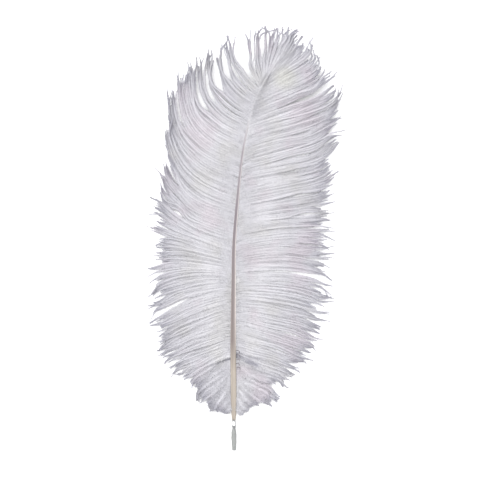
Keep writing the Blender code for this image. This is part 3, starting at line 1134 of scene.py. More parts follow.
@dataclass
class RootHooks:
    """Short dark stubs of worn barbs, hooked over beside the shaft where the down starts."""

    places: tuple[float, ...] = (69.6, 66.9, 63.8, 60.7, 58.2)
    curve: tuple[tuple[float, float, float], ...] = (
        (1.5, 0.5, 3.2), (2.6, 0.8, 4.2), (3.7, 0.4, 4.6), (4.0, -0.3, 4.6), (3.6, -0.9, 4.4),
    )
    thickness: float = 0.75
    taper: float = 0.3
    stray: float = 0.18
    stretch: tuple[float, float] = (0.75, 1.25)
    rings: int = 14
    sides: int = 6
    # Each hook has its own tile on the map kept for baking: how large, how far apart, and the margin.
    tile: tuple[float, float] = (0.9, 0.18)
    tile_step: float = 0.2
    tile_margin: tuple[float, float] = (0.02, 0.01)
    seed: int = 5
    name: str = "root_hooks"

    def build(self, layout: Layout) -> bpy.types.Object:
        """Sweeps a round section along each hook, thinner towards its end.

        Args:
            layout: Where the millimetres lie in the frame.

        Returns:
            All hooks as one piece.
        """
        chance = np.random.default_rng(self.seed)
        draft = Draft()
        share = np.linspace(0.0, 1.0, self.rings)
        route = smooth(np.column_stack([np.linspace(0.0, 1.0, len(self.curve)), self.curve]), share)
        turn = np.linspace(0.0, math.tau, self.sides, endpoint=False)
        radius = self.thickness * (0.5 - self.taper * share)
        above = np.tile((0.0, 0.0, 1.0), (self.rings, 1))
        faces = tube_faces(self.rings, self.sides)
        ends = np.array([np.arange(self.sides), np.arange(self.sides)[::-1] + (self.rings - 1) * self.sides])
        spots = np.column_stack([np.tile(turn / math.tau, self.rings), np.repeat(share, self.sides)])
        for k, up in enumerate(self.places):
            longer = (1.0, chance.uniform(*self.stretch), 1.0)
            line = route * longer + (chance.normal(0.0, self.stray), up, 0.0)
            across = np.cross(tangents(line), above)
            around = across[:, None] * np.cos(turn)[:, None] + above[:, None] * np.sin(turn)[:, None]
            points = (line[:, None] + around * radius[:, None, None]).reshape(-1, 3)
            baked = spots * self.tile + (self.tile_margin[0], self.tile_margin[1] + self.tile_step * k)
            draft.add(points, faces, spots, baked)
            draft.add_faces(ends, spots, baked)
        return draft.finish(self.name, layout, True)

    def dress(self, piece: bpy.types.Object) -> None:
        """Gives the hooks their finish and their place in the frame."""
        piece.data.materials.append(WornKeratin().material())
        hold(piece)


@dataclass(frozen=True)
class Stretch:
    """The barbs of one vane whose roots lie between two distances up the shaft, as one piece."""

    name: str
    low: float
    high: float


@dataclass(frozen=True)
class Parting:
    """A gap between two locks.

    It leaves the shaft at one distance up it. The edge of each lock moves away by the gap, in millimetres,
    and at the locks' ends the given share of that stays.
    """

    at: float
    gap: float
    opened: float = 0.0


@dataclass(frozen=True)
class MiddleToTop:
    """A value that turns from the middle of the vane's to its top's, which depends on the vane's contrast."""

    middle: float
    plain: float
    contrast: float

    def read(self, top: float, top_contrast: float) -> float:
        """Reads the value.

        Args:
            top: How far up the vane, from 0 in the middle to 1 at the top.
            top_contrast: How far the top's strands stand apart, from 0 to 1.

        Returns:
            The value there.
        """
        return self.middle * (1.0 - top) + (self.plain + self.contrast * top_contrast) * top


@dataclass
class BarbSet:
    """What is settled for every barb of a vane before any is drawn, with one row for each barb."""

    # The four handles of the barb's own curve, of its strand's mean curve and of its lock's.
    own: np.ndarray
    strand_handles: np.ndarray
    lock_handles: np.ndarray
    # Lengths and heights in millimetres.
    reach: np.ndarray
    root_height: np.ndarray
    belly: np.ndarray
    rise: np.ndarray
    strand: np.ndarray  # the strand's number
    length: np.ndarray  # the share of its curve that the barb takes up
    fork: np.ndarray  # how far its twig's end turns away from the strand
    hollow: np.ndarray  # 1 where the barb lies low in a hollow beside the shaft
    push: np.ndarray  # how far a parting moves the barb, and how much of that it takes back
    shut: np.ndarray
    curl: np.ndarray  # how far its end curls over sideways
    sway: np.ndarray  # a slow wave: its height, turns along the barb and start
    rate: np.ndarray
    phase: np.ndarray
    pull: np.ndarray  # how much it clings to its strand
    down: np.ndarray  # 1 in the down at the base
    cover: np.ndarray  # 1 where the barbs cover the shaft
    top: np.ndarray  # 1 at the top of the vane
    under: np.ndarray  # 1 for a barb that lies below the others
    off_ridge: np.ndarray  # how far it is from the middle of its strand, from 0 to 1


@dataclass
class BarbLine:
    """One barb's centreline: its share, place, directions, length so far and tone at each point."""

    share: np.ndarray
    places: np.ndarray
    along: np.ndarray
    across: np.ndarray
    above: np.ndarray
    length: np.ndarray
    tone: np.ndarray
    bake_row: tuple[int, int]


@dataclass
class Vane:
    """The barbs on one side of the shaft, each a thin keratin rod with a fringe of barbules on both edges.

    Neighbouring barbs cling together in twigs, twigs in strands and strands in locks. A size with two
    values gives the low and the high end, or the first and the last value, of what it names. Distances up
    the shaft are counted from the quill's cut end.
    """

    side: Side
    flow: tuple[tuple[float, ...], ...]
    stretches: tuple[Stretch, ...]
    partings: tuple[Parting, ...]
    # Beside the hollows the barbs get painted shade as well as lying low.
    hollows: tuple[tuple[float, float], ...]  # stretches of shaft beside which the barbs lie low and dark
    seed: int
    down_tone: float  # how grey the down is, from 0 to 1
    top_contrast: float  # how far the strands stand apart at the top, from 0 to 1
    # Zones up the shaft.
    down_end: float = 66.0
    down_fade: tuple[float, float] = (4.0, 6.0)
    flat_leaving: tuple[float, float] = (112.0, 140.0)
    closer_zone: tuple[float, float] = (200.0, 225.0)
    crowded_zone: tuple[float, float] = (240.0, 262.0)
    top_zone: tuple[float, float] = (208.0, 240.0)
    cover_zone: tuple[float, float] = (226.0, 244.0)
    crown_zone: tuple[float, float] = (250.0, 262.0)
    # The last roots are gathered: beyond the first value, to the second value's share of their distances.
    gather_from: float = 256.0
    gathered: float = 0.3
    # Distance between roots.
    spacing: float = 0.75
    down_spacing: float = 0.33
    tip_spacing: tuple[float, float] = (0.44, 0.34)
    least_fan: float = 0.5
    # Lengths of shaft that a lock, a strand and a twig take up.
    lock_size: tuple[float, float] = (5.0, 10.0)
    strand_size: tuple[float, float] = (1.6, 3.6)
    twig_size: tuple[float, float] = (0.7, 1.6)
    tip_crowd: float = 0.9  # how much shorter these get there, where the roots are gathered
    # Curves: handle lengths as shares of a barb's reach, how far locks, strands and barbs stray, in
    # millimetres or degrees, and how much a barb clings to its strand, near the root and towards the tip.
    leave_handle: tuple[float, float] = (0.42, 0.14)
    end_handle: float = 0.33
    handle_stray: float = 0.7
    leave_stray: tuple[float, float] = (1.0, 1.2)
    end_stray: tuple[float, float, float] = (4.0, 9.0, 3.0)
    lock_stray: float = 0.6
    strand_stray: float = 1.1
    barb_stray: float = 0.35
    down_stray: float = 2.5
    lock_pull: float = 0.2
    strand_pull: float = 0.93
    early_pull: MiddleToTop = MiddleToTop(0.04, 0.06, 0.79)
    late_pull: tuple[float, float, float] = (0.62, 0.35, 0.8)  # in the middle, at the top and in the down
    loose_share: float = 0.05
    loose_pull: float = 0.25
    # A parting moves the flow and the barbs by these shares of its gap, and its push comes in and goes
    # back again between these shares along a barb.
    parting_split: tuple[float, float] = (0.5, 1.0)
    parting_open: tuple[float, float] = (0.28, 0.5)
    parting_shut: tuple[float, float] = (0.58, 0.86)
    # Bends in the plane of the vane, in millimetres: a strand's sway, a barb's own wave, the curl of a
    # strand's end and the fork of a twig's, each with the reach of barb over which it grows.
    sway: float = 0.35
    sway_turns: tuple[float, float] = (1.5, 0.5)
    sway_reach: tuple[float, float] = (8.0, 45.0)
    barb_wave: float = 0.14
    barb_wave_turns: float = 2.2
    curl: tuple[float, float] = (1.7, 3.4)
    curl_share: float = 0.7
    curl_reach: tuple[float, float] = (4.0, 32.0)
    fork: tuple[float, float] = (2.0, 0.25)
    root_dip: float = 1.5
    # Shares along a barb between which each of these comes in.
    lock_pull_in: tuple[float, float] = (0.4, 1.0)
    early_pull_in: tuple[float, float] = (0.0, 0.15)
    late_pull_full: float = 0.96
    wave_in: tuple[float, float] = (0.05, 0.6)
    curl_in: tuple[float, float] = (0.78, 1.0)
    fork_in: tuple[float, float] = (0.82, 1.03)
    height_in: tuple[float, float] = (0.0, 0.5)
    under_in: tuple[float, float] = (0.0, 0.15)
    ridge_in: tuple[float, float] = (0.0, 0.1)
    weave_in: tuple[float, float] = (0.0, 0.3)
    hollow_out: tuple[float, float] = (0.2, 0.43)
    # Lengths: most barbs stop short of the outline and leave single wisps there.
    wisp_share: float = 0.5
    wisp_length: tuple[float, float] = (0.95, 1.0)
    barb_length: tuple[float, float] = (0.84, 0.94)
    strand_length: float = 0.04
    stray_length: float = 0.13
    # Heights.
    root_lift: float = 0.25
    belly_lift: float = 0.8
    cover_lift: float = 3.0
    belly_stray: tuple[float, float] = (0.35, 0.25)
    belly_at: float = 0.45
    cover_belly: float = 0.2
    rise_stray: tuple[float, float] = (0.16, 0.12)
    most_rise: float = 9.0
    barb_height: tuple[float, float] = (0.2, 0.1)
    under_share: float = 0.48
    under_depth: MiddleToTop = MiddleToTop(0.35, 0.21, 0.8)
    over_lift: float = 0.3
    ridge: float = 0.1
    weave: float = 0.18
    weave_turns: float = 1.3
    weave_stray: float = 0.08
    least_height: float = 0.25
    # Tones, from 0 for the barb's root to 1 for the tip's. These are painted shade: below other barbs,
    # between the barbs near the root, at the strands' edges and in the hollows beside the shaft.
    under_shade: MiddleToTop = MiddleToTop(0.04, 0.02, 0.6)
    comb_shade: float = 0.6
    comb_end: tuple[float, float] = (0.04, 0.2)
    strand_edge_shade: float = 0.5
    strand_edge_shade_in: tuple[float, float] = (0.02, 0.25)
    hollow_light: tuple[float, float] = (0.3, 0.08)
    hollow_fade: tuple[float, float] = (0.05, 0.14)
    hollow_shade: tuple[float, float] = (0.92, 0.08)
    # Rods and barbules. Real barbules are a few hundredths of a millimetre wide, too fine to show. These
    # are drawn some ten times as wide, and as close together as the limit on triangles allows.
    rod_step: float = 2.0
    rod_width: tuple[float, float] = (0.30, 0.28)
    step: float = 0.155
    barbule_width: tuple[float, float] = (0.34, 0.42)
    barbule: float = 1.9
    top_barbule: float = 0.95
    end_barbule: float = 1.6
    top_end_barbule: float = 1.1
    down_barbule: float = 3.2
    under_barbule: float = 0.6
    taper_mm: float = 8.0
    barbule_stray: tuple[float, float] = (0.55, 1.15)
    barbule_lean: float = 0.9
    lean_stray: float = 0.17
    barbule_sag: float = 0.2
    sag_stray: float = 0.25
    root_bare: tuple[float, float] = (0.5, 9.0)
    cover_fringe: float = 9.0
    hollow_fringe: float = 6.0
    # How dark the painted shade at the barbules' tips gets.
    barbule_shade_depth: float = 0.9

    def roots(self, chance: np.random.Generator) -> np.ndarray:
        """Finds where the barbs leave the shaft; they stand closer where the vane fans out.

        Args:
            chance: The source of random numbers.

        Returns:
            Distances up the shaft, from the base to the tip.
        """
        rows = np.array(self.flow)
        tips = rows[:, 1:][:, TIP]
        spread = np.linalg.norm(np.diff(tips, axis=0), axis=1) / np.diff(rows[:, 0])
        middles = (rows[1:, 0] + rows[:-1, 0]) / 2.0
        found = [self.stretches[0].low]
        while found[-1] < self.stretches[-1].high:
            up = found[-1]
            if up < self.down_end:
                gap = self.down_spacing
            else:
                fan = float(np.interp(up, middles, spread))
                gap = self.spacing * min(1.0, max(self.least_fan, 2.0 / (0.6 + fan)))
            gap += (self.tip_spacing[0] - gap) * float(ease(*self.closer_zone, up))
            gap += (self.tip_spacing[1] - gap) * float(ease(*self.crowded_zone, up))
            found.append(up + gap * chance.uniform(0.7, 1.3))
        return np.array(found[:-1])

    def parted(self, up: np.ndarray) -> tuple[np.ndarray, np.ndarray]:
        """Finds how far each barb moves up the vane, away from the partings beside it.

        Args:
            up: Distances up the shaft of the roots.

        Returns:
            How far each barb moves, and how much of that is left at the barb's end.
        """
        moved, kept = np.zeros(len(up)), np.zeros(len(up))
        for parting in self.partings:
            away = up - parting.at
            shift = np.sign(away) * parting.gap * np.exp(-np.abs(away) / (1.6 * parting.gap))
            moved += shift
            kept += shift * parting.opened
        return moved, kept

    def groups(self, up: np.ndarray, sizes: tuple[float, float], chance: np.random.Generator) -> np.ndarray:
        """Numbers the barbs by groups of neighbours; no group reaches over a parting.

        Args:
            up: Distances up the shaft of the roots.
            sizes: Least and greatest length of shaft that a group takes up.
            chance: The source of random numbers.

        Returns:
            The group number of each barb.
        """
        crowded = up + self.tip_crowd * np.maximum(up - self.gather_from, 0.0)
        ends = up[0] + np.cumsum(chance.uniform(*sizes, len(up)))
        number = np.searchsorted(ends, crowded)
        for parting in self.partings:
            number = number + (up > parting.at) * 1
        return np.unique(number, return_inverse=True)[1]

    def lengths(self, chance: np.random.Generator, count: int) -> np.ndarray:
        """Draws shares of the full length.

        Args:
            chance: The source of random numbers.
            count: How many to draw.

        Returns:
            The shares: those of the wisps and those of the shorter barbs.
        """
        wisps = chance.uniform(0.0, 1.0, count) < self.wisp_share
        return np.where(
            wisps, chance.uniform(*self.wisp_length, count), chance.uniform(*self.barb_length, count)
        )

    def handles(self, shaft: Shaft, up: np.ndarray, chance: np.random.Generator) -> BarbSet:
        """Settles each barb's own curve, its strand's and its lock's, and what bends and lifts it.

        Args:
            shaft: The shaft that the barbs leave.
            up: Distances up the shaft of the roots.
            chance: The source of random numbers.

        Returns:
            The values of every barb.
        """
        side, count = self.side.value, len(up)
        parted, kept = self.parted(up)
        flow = smooth(np.array(self.flow), up + self.parting_split[0] * kept)
        lock = self.groups(up, self.lock_size, chance)
        strand = self.groups(up, self.strand_size, chance)
        twig = self.groups(up, self.twig_size, chance)

        def each(group: np.ndarray, spread: float, shape: tuple[int, ...] = ()) -> np.ndarray:
            """Draws one random value for each group and gives it back for every member."""
            return chance.normal(0.0, spread, (count, *shape))[group]

        down = 1.0 - ease(self.down_end - self.down_fade[0], self.down_end + self.down_fade[1], up)
        fluff = down * self.down_stray
        leave = flow[:, LEAVE] + each(lock, self.leave_stray[0]) + each(strand, self.leave_stray[1])
        leave = np.radians(leave + each(strand, 1.0) * fluff)
        top = ease(*self.top_zone, up)
        under = (chance.uniform(0.0, 1.0, count) < self.under_share).astype(float)
        spread = (1.0 - 0.8 * down) * (0.25 + 0.75 * top)
        lock_turn, strand_turn, barb_turn = self.end_stray
        turned = each(lock, lock_turn) + each(strand, strand_turn) + chance.normal(0.0, barb_turn, count)
        end = np.radians(flow[:, END] + spread * turned)
        tip = flow[:, TIP] + chance.normal(0.0, self.barb_stray, (count, 2))
        tip += each(strand, 1.0, (2,)) * down[:, None]
        beyond = np.maximum(up - self.gather_from, 0.0)
        foot = up - (1.0 - self.gathered) * beyond
        centre, width = shaft.centre(foot), shaft.width(foot)
        cover = ease(*self.cover_zone, up)
        root = centre[:, :2] + np.column_stack([side * (0.4 - 0.8 * cover) * width, np.zeros(count)])
        reach = np.linalg.norm(tip - root, axis=1)[:, None]
        out = np.column_stack([side * np.cos(leave), np.sin(leave)])
        out += ((tip - root) / reach - out) * ease(0.0, 12.0, beyond)[:, None]
        inward = -np.column_stack([side * np.cos(end), np.sin(end)])
        leaving = self.leave_handle[0] + self.leave_handle[1] * ease(*self.flat_leaving, up)[:, None]
        own = np.stack(
            [root, root + out * reach * leaving, tip + inward * reach * self.end_handle, tip], axis=1
        )
        shift = np.zeros_like(own)
        shift[:, 3] = each(strand, self.strand_stray, (2,)) * spread[:, None]
        shift[:, 2] = shift[:, 3] * self.handle_stray
        bound = group_means(strand, own) + shift
        shift[:, 3] = each(lock, self.lock_stray, (2,))
        shift[:, 2] = shift[:, 3] * self.handle_stray
        held = group_means(lock, own) + shift
        far = reach[:, 0]
        size = ease(*self.sway_reach, far)
        bent = ease(*self.curl_reach, far)
        crown = ease(*self.crown_zone, up)
        strays = self.stray_length * down * (each(strand, 1.0) > 1.1)
        short = 0.06 + np.minimum(0.24, 5.0 / far) * top
        loose = chance.uniform(0.0, 1.0, count) < self.loose_share
        hollow = np.zeros(count)
        for low, high in self.hollows:
            hollow[(up > low) & (up < high)] = 1.0
        belly = flow[:, BELLY] + each(lock, self.belly_stray[0]) + each(strand, self.belly_stray[1])
        lifted = each(lock, self.rise_stray[0]) + each(strand, self.rise_stray[1])
        length = 1.0 - np.abs(each(strand, self.strand_length)) * (1.0 - 0.6 * crown)
        length = length * self.lengths(chance, count)[twig] * (1.0 - short * under) + strays
        fork = each(twig, self.fork[0]) + chance.normal(0.0, self.fork[1], count)
        curl = each(strand, self.curl[0])
        curl = curl + np.where(each(strand, 1.0) > self.curl_share, each(strand, self.curl[1]), 0.0)
        return BarbSet(
            own=own,
            strand_handles=bound,
            lock_handles=held,
            reach=far,
            root_height=centre[:, 2] + cover * (0.4 * width + self.root_lift),
            belly=belly + self.belly_lift + self.cover_lift * cover,
            rise=flow[:, RISE] + np.minimum(flow[:, RISE], self.most_rise) * lifted,
            strand=strand.astype(float),
            length=length,
            fork=fork * size * (0.6 + 0.4 * top),
            hollow=hollow,
            push=side * self.parting_split[1] * parted,
            shut=side * self.parting_split[1] * (parted - kept),
            curl=curl * bent * (1.0 + 0.3 * top),
            sway=each(strand, self.sway) * size * (2.0 - 0.5 * top) * (1.0 - 0.8 * down),
            rate=self.sway_turns[0] + each(strand, self.sway_turns[1]),
            phase=each(strand, 9.0),
            pull=np.where(loose, self.loose_pull, 1.0) * (1.0 - 0.8 * under),
            down=down,
            cover=cover,
            top=top,
            under=under,
            off_ridge=off_middle(strand),
        )

    def flat_path(self, made: BarbSet, i: int, t: np.ndarray, chance: np.random.Generator) -> np.ndarray:
        """Reads one barb's curve as it is seen from above.

        Args:
            made: The values of every barb.
            i: The barb's number.
            t: Shares along the barb.
            chance: The source of random numbers.

        Returns:
            An (x, y) row for each share.
        """
        down, top = made.down[i], made.top[i]
        weights = np.column_stack([(1 - t) ** 3, 3 * t * (1 - t) ** 2, 3 * t * t * (1 - t), t**3])
        own, bound, held = (
            weights @ handles[i] for handles in (made.own, made.strand_handles, made.lock_handles)
        )
        bound = bound + (held - bound) * (self.lock_pull * ease(*self.lock_pull_in, t))[:, None]
        early = self.early_pull.read(top, self.top_contrast) * (1.0 - down)
        middle, high, low = self.late_pull
        late = middle * (1.0 - top - down) + high * top + low * down
        pull = early * ease(*self.early_pull_in, t) + (1.0 - early) * ease(late, self.late_pull_full, t)
        pull = made.pull[i] * pull * self.strand_pull
        flat = own + (bound - own) * pull[:, None]
        along = tangents(flat)
        normal = np.column_stack([-along[:, 1], along[:, 0]])
        wave = made.sway[i] * np.sin(math.tau * made.rate[i] * t + made.phase[i])
        own_wave = self.barb_wave * np.sin(math.tau * (self.barb_wave_turns * t + chance.uniform()))
        bend = (wave + own_wave) * ease(*self.wave_in, t) + made.curl[i] * ease(*self.curl_in, t) ** 1.5
        bend += made.fork[i] * ease(*self.fork_in, t) ** 1.4
        bend += made.push[i] * ease(*self.parting_open, t) - made.shut[i] * ease(*self.parting_shut, t)
        flat = flat + normal * bend[:, None]
        flat[:, 1] -= self.root_dip * (1.0 - made.cover[i]) * np.exp(-t * made.reach[i] / 2.0)
        return flat

    def heights(self, made: BarbSet, i: int, t: np.ndarray, chance: np.random.Generator) -> np.ndarray:
        """Finds how high one barb lies: it sinks from the shaft to its belly and rises towards its tip.

        Args:
            made: The values of every barb.
            i: The barb's number.
            t: Shares along the barb.
            chance: The source of random numbers.

        Returns:
            The height at each share.
        """
        down, top = made.down[i], made.top[i]
        low = made.belly[i]
        fallen = ease(0.0, self.belly_at + self.cover_belly * made.cover[i], t)
        height = made.root_height[i] + (low - made.root_height[i]) * fallen
        height += (made.rise[i] - low) * (np.maximum(t - self.belly_at, 0.0) / (1.0 - self.belly_at)) ** 2
        spread, down_spread = self.barb_height
        height += chance.normal(0.0, spread + down_spread * down) * ease(*self.height_in, t)
        depth = self.under_depth.read(top, self.top_contrast) * (1.0 - 0.6 * down)
        height += depth * (self.over_lift - made.under[i]) * ease(*self.under_in, t)
        height += self.ridge * (1.0 - down) * (0.5 - made.off_ridge[i]) * ease(*self.ridge_in, t)
        turns = self.weave_turns * made.rate[i] * t + made.phase[i] + chance.normal(0.0, self.weave_stray)
        height += self.weave * (1.0 - 0.8 * down) * ease(*self.weave_in, t) * np.sin(math.tau * turns)
        height += (self.least_height - height) * made.hollow[i] * (1.0 - ease(*self.hollow_out, t))
        return np.maximum(height, self.least_height)

    def tones(self, made: BarbSet, i: int, t: np.ndarray) -> np.ndarray:
        """Finds one barb's tone, which greys towards its tip and in the down, with painted shade below other
        barbs, between the barbs near the root, at the strands' edges and in hollows.

        Args:
            made: The values of every barb.
            i: The barb's number.
            t: Shares along the barb.

        Returns:
            The tone at each share, from 0 for the root's to 1 for the tip's.
        """
        down, top = made.down[i], made.top[i]
        # Painted shade in the hollows beside the shaft, which fades out along the barb.
        lit = self.hollow_light[0] + self.hollow_light[1] * math.sin(5.0 * i)
        fade = 1.0 - ease(lit - self.hollow_fade[0], lit + self.hollow_fade[1], t)
        shaded = made.hollow[i] * fade * (self.hollow_shade[0] + self.hollow_shade[1] * math.cos(7.0 * i))
        tone = np.maximum((t / t[-1]) ** (1.0 + 0.5 * down), shaded)
        # Painted shade between the barbs near the root: every other barb there takes another tone.
        comb = (i % 2) * (1.0 - down) * (1.0 - ease(*self.comb_end, t))
        tone = np.maximum(tone, self.comb_shade * (1.0 - top * (1.0 - self.top_contrast)) * comb)
        # Painted shade on the barbs that lie below others.
        deeper = self.under_shade.read(top, self.top_contrast) * (1.0 - down) * made.under[i]
        deeper = deeper * ease(0.1 - 0.1 * top, 0.55 - 0.35 * top, t)
        tone = tone + (deeper + self.down_tone * down) * (1.0 - tone)
        # Painted shade at the strands' edges, towards the top of the vane.
        outline = self.strand_edge_shade * self.top_contrast * top * made.off_ridge[i] ** 2
        return tone + outline * ease(*self.strand_edge_shade_in, t) * (1.0 - tone)

    def rod(self, draft: Draft, line: BarbLine, strand: float) -> None:
        """Draws one barb's rod, with three sides.

        Args:
            draft: The mesh that takes it.
            line: The barb's centreline.
            strand: The strand's number, for the finish.
        """
        count, t, places = len(line.share), line.share, line.places
        start, finish = self.rod_width
        half = 0.5 * (start + (finish - start) * t**0.7)[:, None]
        points = np.concatenate(
            [places - line.across * half, places + line.across * half, places - line.above * half * 1.2]
        )
        n = np.arange(count - 1)
        faces = [
            np.column_stack([n + a * count, n + 1 + a * count, n + 1 + b * count, n + b * count])
            for a, b in ((0, 1), (1, 2), (2, 0))
        ]
        row, rows = line.bake_row
        lines = np.repeat([0.46, 0.54, 0.5], count)
        finish_uv = np.column_stack([np.tile(line.tone, 3), np.full(3 * count, strand)])
        bake_uv = np.column_stack([inset(np.tile(t, 3)), (row + lines) / rows])
        draft.add(points, np.concatenate(faces), finish_uv, bake_uv)

    def barbule_lengths(
        self, made: BarbSet, i: int, line: BarbLine, at: np.ndarray, chance: np.random.Generator
    ) -> np.ndarray:
        """Finds how long the barbules on one edge of a barb are.

        Args:
            made: The values of every barb.
            i: The barb's number.
            line: The barb's centreline.
            at: Distances along the barb of the barbules.
            chance: The source of random numbers.

        Returns:
            The length of each barbule.
        """
        down, top, under, hollow = made.down[i], made.top[i], made.under[i], made.hollow[i]
        share = np.interp(at, line.length, line.share)
        near = ease(*self.root_bare, at + self.cover_fringe * made.cover[i] - self.hollow_fringe * hollow)
        near = np.maximum(near, under * (1.0 - hollow))
        full = self.barbule + (self.top_barbule - self.barbule) * top
        full += self.under_barbule * (under - 0.3)
        short = self.end_barbule + (self.top_end_barbule - self.end_barbule) * top
        full = (full + (short - full) * ease(0.4, 0.88, share)) * (1.0 - down)
        full = full + self.down_barbule * (1.0 - 0.7 * ease(0.55, 1.0, share)) * down
        thin = (0.45 - 0.3 * top) * (1.0 - down)
        full = full * (1.0 - thin * (1.0 - ease(0.0, self.taper_mm, line.length[-1] - at)))
        return full * (0.25 + 0.75 * near) * chance.uniform(*self.barbule_stray, len(at))

    def fringe(
        self, draft: Draft, made: BarbSet, i: int, line: BarbLine, sign: float, chance: np.random.Generator
    ) -> None:
        """Draws the barbules on one edge of a barb, each a single pointed face.

        Args:
            draft: The mesh that takes them.
            made: The values of every barb.
            i: The barb's number.
            line: The barb's centreline.
            sign: 1 for the edge in the direction of across, -1 for the other one.
            chance: The source of random numbers.
        """
        end, down, top = line.length[-1], made.down[i], made.top[i]
        each = max(8, int(end / self.step))
        at = (np.arange(each) + chance.uniform(0.2, 0.8, each)) / each * end
        share = np.interp(at, line.length, line.share)
        foot, way, out, up = (
            np.column_stack([np.interp(at, line.length, values[:, axis]) for axis in range(3)])
            for values in (line.places, line.along, line.across, line.above)
        )
        full = self.barbule_lengths(made, i, line, at, chance)
        lean = self.barbule_lean - (0.35 - 0.15 * top) * ease(0.4, 0.95, share)
        lean = lean + chance.normal(0.0, self.lean_stray, each) + 0.15 * down
        tilt = chance.normal(-self.barbule_sag * (1.0 - down), self.sag_stray, each)
        sideways = out * (sign * np.cos(tilt))[:, None] + up * np.sin(tilt)[:, None]
        point = foot + (way * np.cos(lean)[:, None] + sideways * np.sin(lean)[:, None]) * full[:, None]
        point[:, 2] = np.maximum(point[:, 2], 0.05)
        inner, outer = self.barbule_width
        wide = inner + (outer - inner) * ease(0.4, 0.9, share)
        base = way * ((0.5 + 0.15 * down) * wide)[:, None]
        m = np.arange(each)
        faces = np.column_stack([m, m + each, m + 2 * each])
        if sign > 0.0:
            faces = faces[:, ::-1]
        tones = np.interp(at, line.length, line.tone)
        # Painted shade at the barbules' tips, for the shade on the strands' flanks, more towards the barb's
        # end and at the top of the vane.
        grey = np.maximum(ease(0.5, 0.9, share), top * (0.4 + 0.8 * self.top_contrast))
        barbule_shade = self.barbule_shade_depth * (0.5 + 0.5 * grey) * (1.0 - 0.75 * down)
        strand = made.strand[i] + np.concatenate([np.zeros(2 * each), barbule_shade])
        finish_uv = np.column_stack([np.tile(tones, 3), strand])
        spot = at / end
        half = 0.4 / each
        row, rows = line.bake_row
        across_map = np.repeat([0.5 + sign * 0.06, 0.5 + sign * 0.06, 0.5 + sign * 0.46], each)
        along_map = inset(np.concatenate([spot + half, spot - half, spot]))
        bake_uv = np.column_stack([along_map, (row + across_map) / rows])
        draft.add(np.concatenate([foot + base, foot - base, point]), faces, finish_uv, bake_uv)

    def barb(
        self, draft: Draft, made: BarbSet, i: int, row: tuple[int, int], chance: np.random.Generator
    ) -> None:
        """Draws one barb.

        Args:
            draft: The mesh that takes it.
            made: The values of every barb.
            i: The barb's number.
            row: Its row on the map kept for baking, and how many rows there are.
            chance: The source of random numbers.
        """
        count = max(6, int(made.reach[i] * 1.08 * made.length[i] / self.rod_step))
        t = np.linspace(0.0, made.length[i], count)
        flat = self.flat_path(made, i, t, chance)
        places = np.column_stack([flat, self.heights(made, i, t, chance)])
        along, across, above = directions(places)
        steps = np.linalg.norm(np.diff(places, axis=0), axis=1)
        length = np.concatenate([[0.0], np.cumsum(steps)])
        line = BarbLine(t, places, along, across, above, length, self.tones(made, i, t), row)
        self.rod(draft, line, made.strand[i])
        for sign in (-1.0, 1.0):
            self.fringe(draft, made, i, line, sign, chance)

    def build(self, layout: Layout, shaft: Shaft) -> list[bpy.types.Object]:
        """Makes all stretches of the vane.

        Args:
            layout: Where the millimetres lie in the frame.
            shaft: The shaft that the barbs leave.

        Returns:
            One object for each stretch.
        """
        chance = np.random.default_rng(self.seed)
        up = self.roots(chance)
        made = self.handles(shaft, up, chance)
        found = []
        for stretch in self.stretches:
            chosen = np.flatnonzero((up >= stretch.low) & (up < stretch.high))
            draft = Draft()
            for k, i in enumerate(chosen):
                self.barb(draft, made, int(i), (k, len(chosen)), chance)
            found.append(draft.finish(f"{self.side.name.lower()}_{stretch.name}", layout, False))
        return found

    def dress(self, pieces: list[bpy.types.Object], keratin: bpy.types.Material) -> None:
        """Gives each stretch its finish and its place in the frame.

        Args:
            pieces: The vane's stretches.
            keratin: The barbs' material.
        """
        for piece in pieces:
            piece.data.materials.append(keratin)
            hold(piece)


